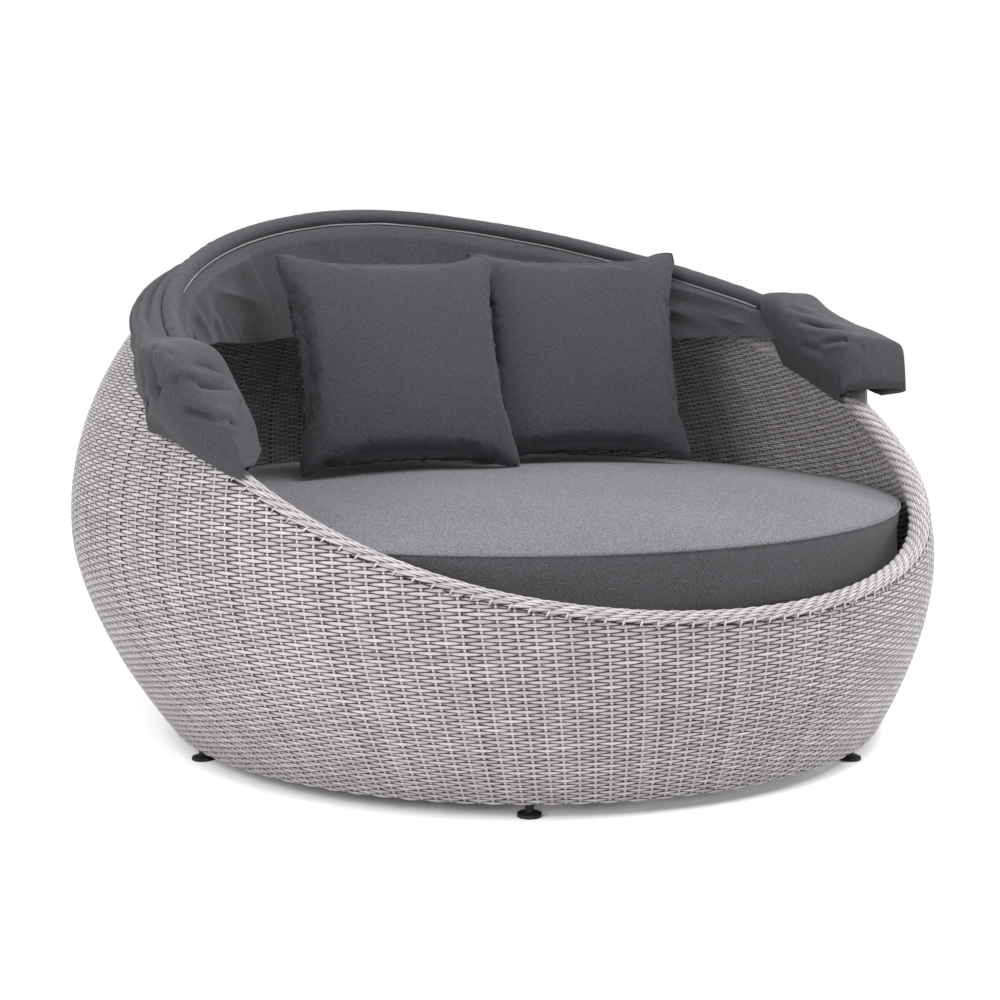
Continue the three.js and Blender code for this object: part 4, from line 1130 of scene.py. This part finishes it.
def outer_fold(step, drop, side_drop, seed):
    """Lines of a fold: over the rear bow, then tucked under it, or hanging at the back and left."""
    line, along = rear_line, rear_along
    edge, _, rim_out, rim_up = rim_frame(rim_turn)
    out = unit(rim_out - np.sum(rim_out * along, -1, keepdims=True) * along)
    up = np.cross(out, along)
    seat = bow_seat + step
    stand = np.maximum(bow_seat - bow_radius + rim_clearance + step,
                       np.sum((line + seat * out - edge) * rim_out, -1))
    loose = ripples(fold_turn) + 0.003 * waves(fold_turn, seed, 20, 60)
    back = smooth((np.sin(fold_turn) - 0.75) / 0.25)
    hung = np.clip(2 * back, 0, 1)[:, None]
    left = smooth((fold_turn - 2.45) / 0.35)[:, None]

    def beside(reach, rise):
        return line + reach * out + rise * up

    clear, diagonal, over_turn = seat / math.cos(math.pi / 8), 0.707, 0.436
    tuck = clear * diagonal
    low = stand + loose
    ends = [
        (beside(tuck, -tuck), edge + (stand + loose / 2)[:, None] * rim_out),
        (beside(0.0, -clear), edge + low[:, None] * rim_out - (drop * back)[:, None] * rim_up),
    ]
    over = beside(seat * math.cos(over_turn), seat * math.sin(over_turn))
    pleat = 0.004 * (1 + waves(fold_turn, seed + 5, 30, 60))
    lines = [over, beside(seat, bow_radius / 2), beside(seat, -bow_radius / 2)]
    for share, (tucked, hanging) in zip((0.45, 1.0), ends):
        falling = line + (seat + share * pleat)[:, None] * out
        falling = falling - np.array([0.0, 0.0, side_drop * share])
        lower = tucked + hung * (hanging - tucked)
        lines.append(lower + left * (falling - lower))
    return lines


rear_lines = outer_fold(0.0, 0.075, 0.1, 31)
middle_lines = outer_fold(0.006, 0.030, 0.045, 32)
over = middle_lines[0]
middle_line, middle_along, _, _ = bow_frame(1, fold_turn)
rise = unit(np.cross(middle_along, middle_line - over))
front = unit(middle_line - over)
start = middle_line + (bow_seat + 0.0024) * rise
tuck = [middle_line + (bow_seat + 0.0014) * unit(way) for way in (front - 0.5 * rise, front + rise)]
sag = (start + over) / 2 + np.array([0, 0, -0.003]) + 0.002 * waves(fold_turn, 33, 20, 70)[:, None]
middle_lines = tuck + [start, sag] + middle_lines
# Where each fold crease starts along the gore, and how far down the gore it runs
crease_starts = [(236, 22), (292, 29), (259, 36), (310, 43), (283, 50)]
crease_depth, crease_width = 0.013, 0.0045
for name, node, lines, below, above, bodies, flat, area in [
    ("canopy_rear_gore", "canopy_rear_panel", rear_lines, across_bow(2, 0.09),
     across_bow(2, 0.006), ("daybed_frame", "canopy_rear"), (2.68, 0.125), 0.215),
    ("canopy_middle_gore", "canopy_middle_panel", middle_lines, across_bow(1, 0.030),
     across_bow(1, 0.003), ("canopy_rear", "canopy_middle"), (2.68, 0.15), 0.33),
]:
    grid = np.swapaxes(spread(np.array(lines), 60), 0, 1)
    face = np.cross(np.gradient(grid, axis=0), np.gradient(grid, axis=1))
    outside = np.sign(np.mean(np.sum(face * rear_out[:, None], -1)))
    folds = [(grid[first:-11:13, column] * 1000, crease_depth, crease_width)
             for first, column in crease_starts]
    gore = cloth_piece(name, pressed(grid, folds, outside), canopy_cloth)
    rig.slot(gore, "canopy_cloth")
    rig.replaces(gore, node)
    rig.sheet(gore, flat=flat, held="folded", rests_on=["rear_canopy_bow"], area=area)
    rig.blend(gore, *bodies, below, above)


# The boots: the loose ends of the canopy, gathered over the rim by each pivot. The left one is
# drawn down to a nose in front, the right one stands as a short hood closed in front. Their feet
# stay on the rim and their tops bend with the rear bow.
rim_turns = np.linspace(-np.pi / 2, np.pi / 2, 721)
rim_edges, _, rim_outs, rim_ups = rim_frame(rim_turns)
rim_hearts = (rim_edges - wall_depth / 2 * rim_outs - tube_drop * rim_ups)[:, 1]
seam_outside, seam_inside = 0.0080, -0.0440
boot_reach, boot_height = 0.094, 0.12


def beside_rim(y, out, rise):
    """A point beside the rim: outwards from its edge, and above or below it."""
    angle = np.interp(y, rim_hearts, rim_turns)
    edge, _, rim_out, rim_up = rim_frame(angle)
    level_out = unit(rim_out * np.array([1.0, 1.0, 0.0]))
    above = edge + out[..., None] * level_out + rise[..., None] * np.array([0.0, 0.0, 1.0])
    outside = wall_point(angle, rim_level(angle) + np.minimum(rise, 0), -out)[0]
    inside = edge + out[..., None] * rim_out + rise[..., None] * rim_up
    below = np.where((out > 0)[..., None], outside, inside)
    return np.where((rise < 0)[..., None], below, above)


def boot_grid(rear, front, rears, fronts, outs, heights, crests, hems, inner_hems, close):
    """A hood over the rim from rear to front of the pivot, through lines that run along the rim.

    Each line has its share of the rear and front ends, its way out and its height; crests and
    hems give the top and the foot along it. Close is how much of the height is left in front."""
    share = np.linspace(0, 1, 165)
    closing = 1 - (1 - close) * np.clip((share - 0.95) / 0.05, 0, 1) ** 2
    seats = [seam_outside] + [0.0] * (len(heights) - 2) + [seam_inside]
    lines = []
    for j, (seat, height) in enumerate(zip(seats, heights)):
        y = pivot_y + rear * rears[j] * (1 - share) - front * fronts[j] * share
        t = np.clip((pivot_y + rear - y) / (rear + front), 0, 1)
        tables = (outs[j], crests, hems if j < 4 else inner_hems)
        out, crest, hem = (np.interp(t, np.linspace(0, 1, 200), spread(table, 200))
                           for table in tables)
        hem = boot_height * hem
        rise = hem + (boot_height * crest - hem) * height * closing
        lines.append(beside_rim(y, seat + boot_reach * out, rise))
    return np.swapaxes(spread(np.array(lines), 140), 0, 1)


left_boot = boot_grid(
    rear=0.158, front=0.148,
    rears=[0.67, 1, 0.6, 0.6, 0.35, 0, -0.1], fronts=[0.91, 0.95, 0.98, 0.98, 0.9, 0.8, 0.73],
    outs=[[0.3, 0.3, 0.25, 0.15, 0.05, 0, 0, 0],
          [0.66, 0.72, 0.8, 0.88, 0.76, 0.4, 0.15, 0.08],
          [0.8, 0.86, 0.92, 0.98, 0.86, 0.4, 0.15, 0.06],
          [0.46, 0.46, 0.48, 0.48, 0.3, -0.1, -0.2, -0.2],
          [-0.45, -0.45, -0.45, -0.45, -0.5, -0.6, -0.58, -0.5], [-0.66, -0.58], [0, 0]],
    heights=[0, 0.42, 0.9, 1, 0.94, 0.42, 0],
    crests=[0.88, 0.92, 1.02, 1.16, 1.2, 0.88, 0.66, 0.12],
    hems=[-0.75, -0.62, -0.5, -0.4, -0.34, -0.27, -0.2, -0.12], inner_hems=[-0.16, -0.16],
    close=1.0)
left_boot = pressed(left_boot * np.array([-1.0, 1.0, 1.0]), [
    ([(-867, -141, 800), (-860, -134, 734), (-850, -114, 690)], 0.020, 0.0063),
    ([(-856, -165, 810), (-861, -188, 754), (-858, -186, 705)], 0.026, 0.0072),
    ([(-840, -200, 800), (-830, -226, 735)], 0.017, 0.0063),
    ([(-845, -70, 680), (-855, -195, 730), (-831, -225, 748), (-797, -237, 745)], 0.019, 0.0054),
    ([(-851, -190, 716), (-816, -236, 693), (-745, -290, 668)], 0.019, 0.0054),
    ([(-840, -222, 738), (-790, -237, 735), (-730, -220, 726)], 0.012, 0.0081),
    ([(-820, -215, 762), (-778, -207, 770), (-740, -200, 752)], 0.007, 0.0072),
    ([(-708, -231, 695), (-725, -234, 708), (-760, -300, 640)], 0.009, 0.0108),
], 1.0)
right_boot = boot_grid(
    rear=0.272, front=0.027,
    rears=[0.73, 0.85, 0.96, 1, 0.97, 0.9, 0.86], fronts=[0.55, 0.85, 1, 1, 0.85, 0.5, 0],
    outs=[[0.2, 0.24], [0.44, 0.74], [0.5, 0.8], [0.3, 0.2], [-0.72, -0.4], [-0.66, -0.6],
          [0, 0]],
    heights=[0, 0.42, 0.86, 1, 0.97, 0.42, 0],
    crests=[0.9, 1.03, 0.97, 0.95, 0.98, 1.06, 1.12, 1.17],
    hems=[-0.5, -0.4, -0.32, -0.24, -0.14, -0.04, 0.04, 0.14],
    inner_hems=[-0.16, -0.16, -0.12, 0.1], close=0.15)
right_boot = pressed(right_boot, [
    ([(718, 35, 856), (740, -4, 845), (757, -55, 832)], 0.014, 0.0054),
    ([(715, 0, 824), (736, -62, 813), (755, -125, 806)], 0.017, 0.0054),
    ([(720, -70, 772), (732, -142, 786), (762, -180, 768)], 0.017, 0.0054),
    ([(762, -180, 762), (745, -165, 742), (728, -140, 742)], 0.012, 0.0054),
    ([(719, -14, 769), (722, -90, 756)], 0.012, 0.0072),
    ([(740, 100, 890), (810, 40, 850), (840, -60, 805)], 0.012, 0.0126),
    ([(750, -183, 700), (800, -182, 722), (840, -175, 752)], 0.012, 0.0072),
    ([(800, -183, 690), (830, -180, 730)], 0.009, 0.0072),
], -1.0)
held_end = (0.0, pivot_y - 0.02, pivot_z - 0.03)
lifted_end = (0.0, pivot_y + 0.08, pivot_z + 0.12)
for name, node, grid, flat, area in [
    ("left_boot_cloth", "left_canopy_boot", left_boot, (0.42, 0.36), 0.112),
    ("right_boot_cloth", "right_canopy_boot", right_boot, (0.42, 0.36), 0.142),
]:
    hood = cloth_piece(name, grid, canopy_cloth)
    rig.blend(hood, "daybed_frame", "canopy_rear", held_end, lifted_end)
    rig.slot(hood, "canopy_cloth")
    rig.replaces(hood, node)
    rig.sheet(hood, flat=flat, held="gathered", rests_on=["rim_braid"], area=area)


# The scatter pillows: two knife edged squares, stuffed full in the middle, their corners pulled
# out to soft ears. Each is blown up as cloth from a thin square, then leant on the wall.
pillow_half = np.array([0.25, 0.075, 0.25])


def stuffed_square(name, seed):
    """A pillow and the places of its points, square to the axes and round the origin."""
    cells = 44
    place = np.sin(np.pi * (np.arange(cells + 1) / cells - 0.5))
    u, v = np.meshgrid(place, place)
    blunt = 1 - 0.045 * (u * v) ** 8
    across = u * 0.25 * (blunt * (1 - 0.06 * (1 - v ** 2) * u ** 2))
    up = v * 0.25 * (blunt * (1 - 0.06 * (1 - u ** 2) * v ** 2))
    half_depth = 0.002 + 0.036 * np.sqrt((1 - u ** 2) * (1 - v ** 2))
    front, back = (np.stack([across, side * half_depth, up], -1) for side in (-1, 1))
    pillow = flat_piece(name, front, back, pillow_cloth)
    remesh = pillow.modifiers.new("even cells", "REMESH")
    remesh.mode, remesh.voxel_size = "VOXEL", 0.0055
    shapes = bpy.context.evaluated_depsgraph_get()
    mesh = bpy.data.meshes.new_from_object(pillow.evaluated_get(shapes))
    pillow.modifiers.clear()
    pillow.data = mesh
    rest = np.array([corner.co for corner in mesh.vertices])
    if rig.quick():
        swelled = rest * np.array([1.0, 1.9, 1.0])
    else:
        uneven = np.ones_like(rest)
        uneven[:, 1] = np.random.default_rng(seed).uniform(0.96, 1.04, len(rest))
        mesh.vertices.foreach_set("co", (rest * uneven).ravel())
        cloth = pillow.modifiers.new("stuffing", "CLOTH").settings
        cloth.quality = 5
        cloth.mass = 0.25
        cloth.tension_stiffness = 18
        cloth.compression_stiffness = 14
        cloth.shear_stiffness = 6
        cloth.bending_stiffness = 0.35
        cloth.use_pressure = True
        cloth.uniform_pressure_force = 4.0
        cloth.effector_weights.gravity = 0.0
        last_frame, longest_way = 20, 0.03
        for moment in range(1, last_frame + 1):
            bpy.context.scene.frame_set(moment)
        shapes = bpy.context.evaluated_depsgraph_get()
        blown = pillow.evaluated_get(shapes).to_mesh()
        moved = np.array([corner.co for corner in blown.vertices]) - rest
        length = np.linalg.norm(moved, axis=-1, keepdims=True)
        swelled = rest + moved * np.minimum(1, longest_way / np.maximum(length, 1e-6))
        pillow.modifiers.clear()
        bpy.context.scene.frame_set(1)
    reach = np.clip(np.abs(rest[:, ::2]) / np.abs(rest[:, ::2]).max(0), 0, 1)
    dome = 0.075 * np.prod(np.sqrt(1 - reach ** 2.6), axis=-1)
    swelled[:, 1] = 0.45 * swelled[:, 1] + 0.62 * np.sign(rest[:, 1]) * dome
    highest, lowest = swelled.max(0), swelled.min(0)
    return pillow, (swelled - (highest + lowest) / 2) * pillow_half / ((highest - lowest) / 2)


seam_radius = 0.0022
for name, seed, middle, yaw, lean_back in [
    ("left", 41, (-0.131, 0.3224, 0.7378), -8.4, 21.4),
    ("right", 42, (0.330, 0.3125, 0.7400), -18.0, 18.2),
]:
    pillow, shape = stuffed_square(f"{name}_pillow_cloth", seed)
    tip, spin = -math.radians(lean_back), math.radians(yaw)
    tipped = np.array([
        [1, 0, 0], [0, math.cos(tip), -math.sin(tip)], [0, math.sin(tip), math.cos(tip)]])
    spun = np.array([
        [math.cos(spin), -math.sin(spin), 0], [math.sin(spin), math.cos(spin), 0], [0, 0, 1]])
    angle = np.arctan2(shape[:, 2], shape[:, 0])
    reach = np.hypot(shape[:, 0], shape[:, 2])
    outline = []
    for step in np.linspace(-np.pi, np.pi, 240, endpoint=False):
        near = np.abs((angle - step + np.pi) % (2 * np.pi) - np.pi) < 0.02
        outline.append(shape[near][np.argmax(reach[near])])
    outline = np.array(outline + outline[:1])
    pillow.data.vertices.foreach_set("co", (shape @ tipped.T @ spun.T + np.array(middle)).ravel())
    pillow.data.update()
    pillow.data.shade_smooth()
    smoother = pillow.modifiers.new("finer", "SUBSURF")
    smoother.levels = smoother.render_levels = 1
    seam_line = outline @ tipped.T @ spun.T + np.array(middle)
    seam = cord_piece(f"{name}_pillow_seam", seam_line, seam_radius, pillow_cloth)
    for piece in (pillow, seam):
        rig.ride(piece, f"{name}_pillow")
        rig.slot(piece, "pillow_cloth")
        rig.replaces(piece, f"{name}_pillow")
    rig.padded(pillow, fill=0.7)


# The float shape only lent its mesh to the strands, so it goes. Both boxes are written down.
bpy.data.objects.remove(float_shape)
looks_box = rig.bounds()
with open("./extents.json", "w") as sizes:
    json.dump({
        "cad": [list(map(float, corner)) for corner in cad_box],
        "visual": [list(map(float, corner)) for corner in looks_box],
    }, sizes)
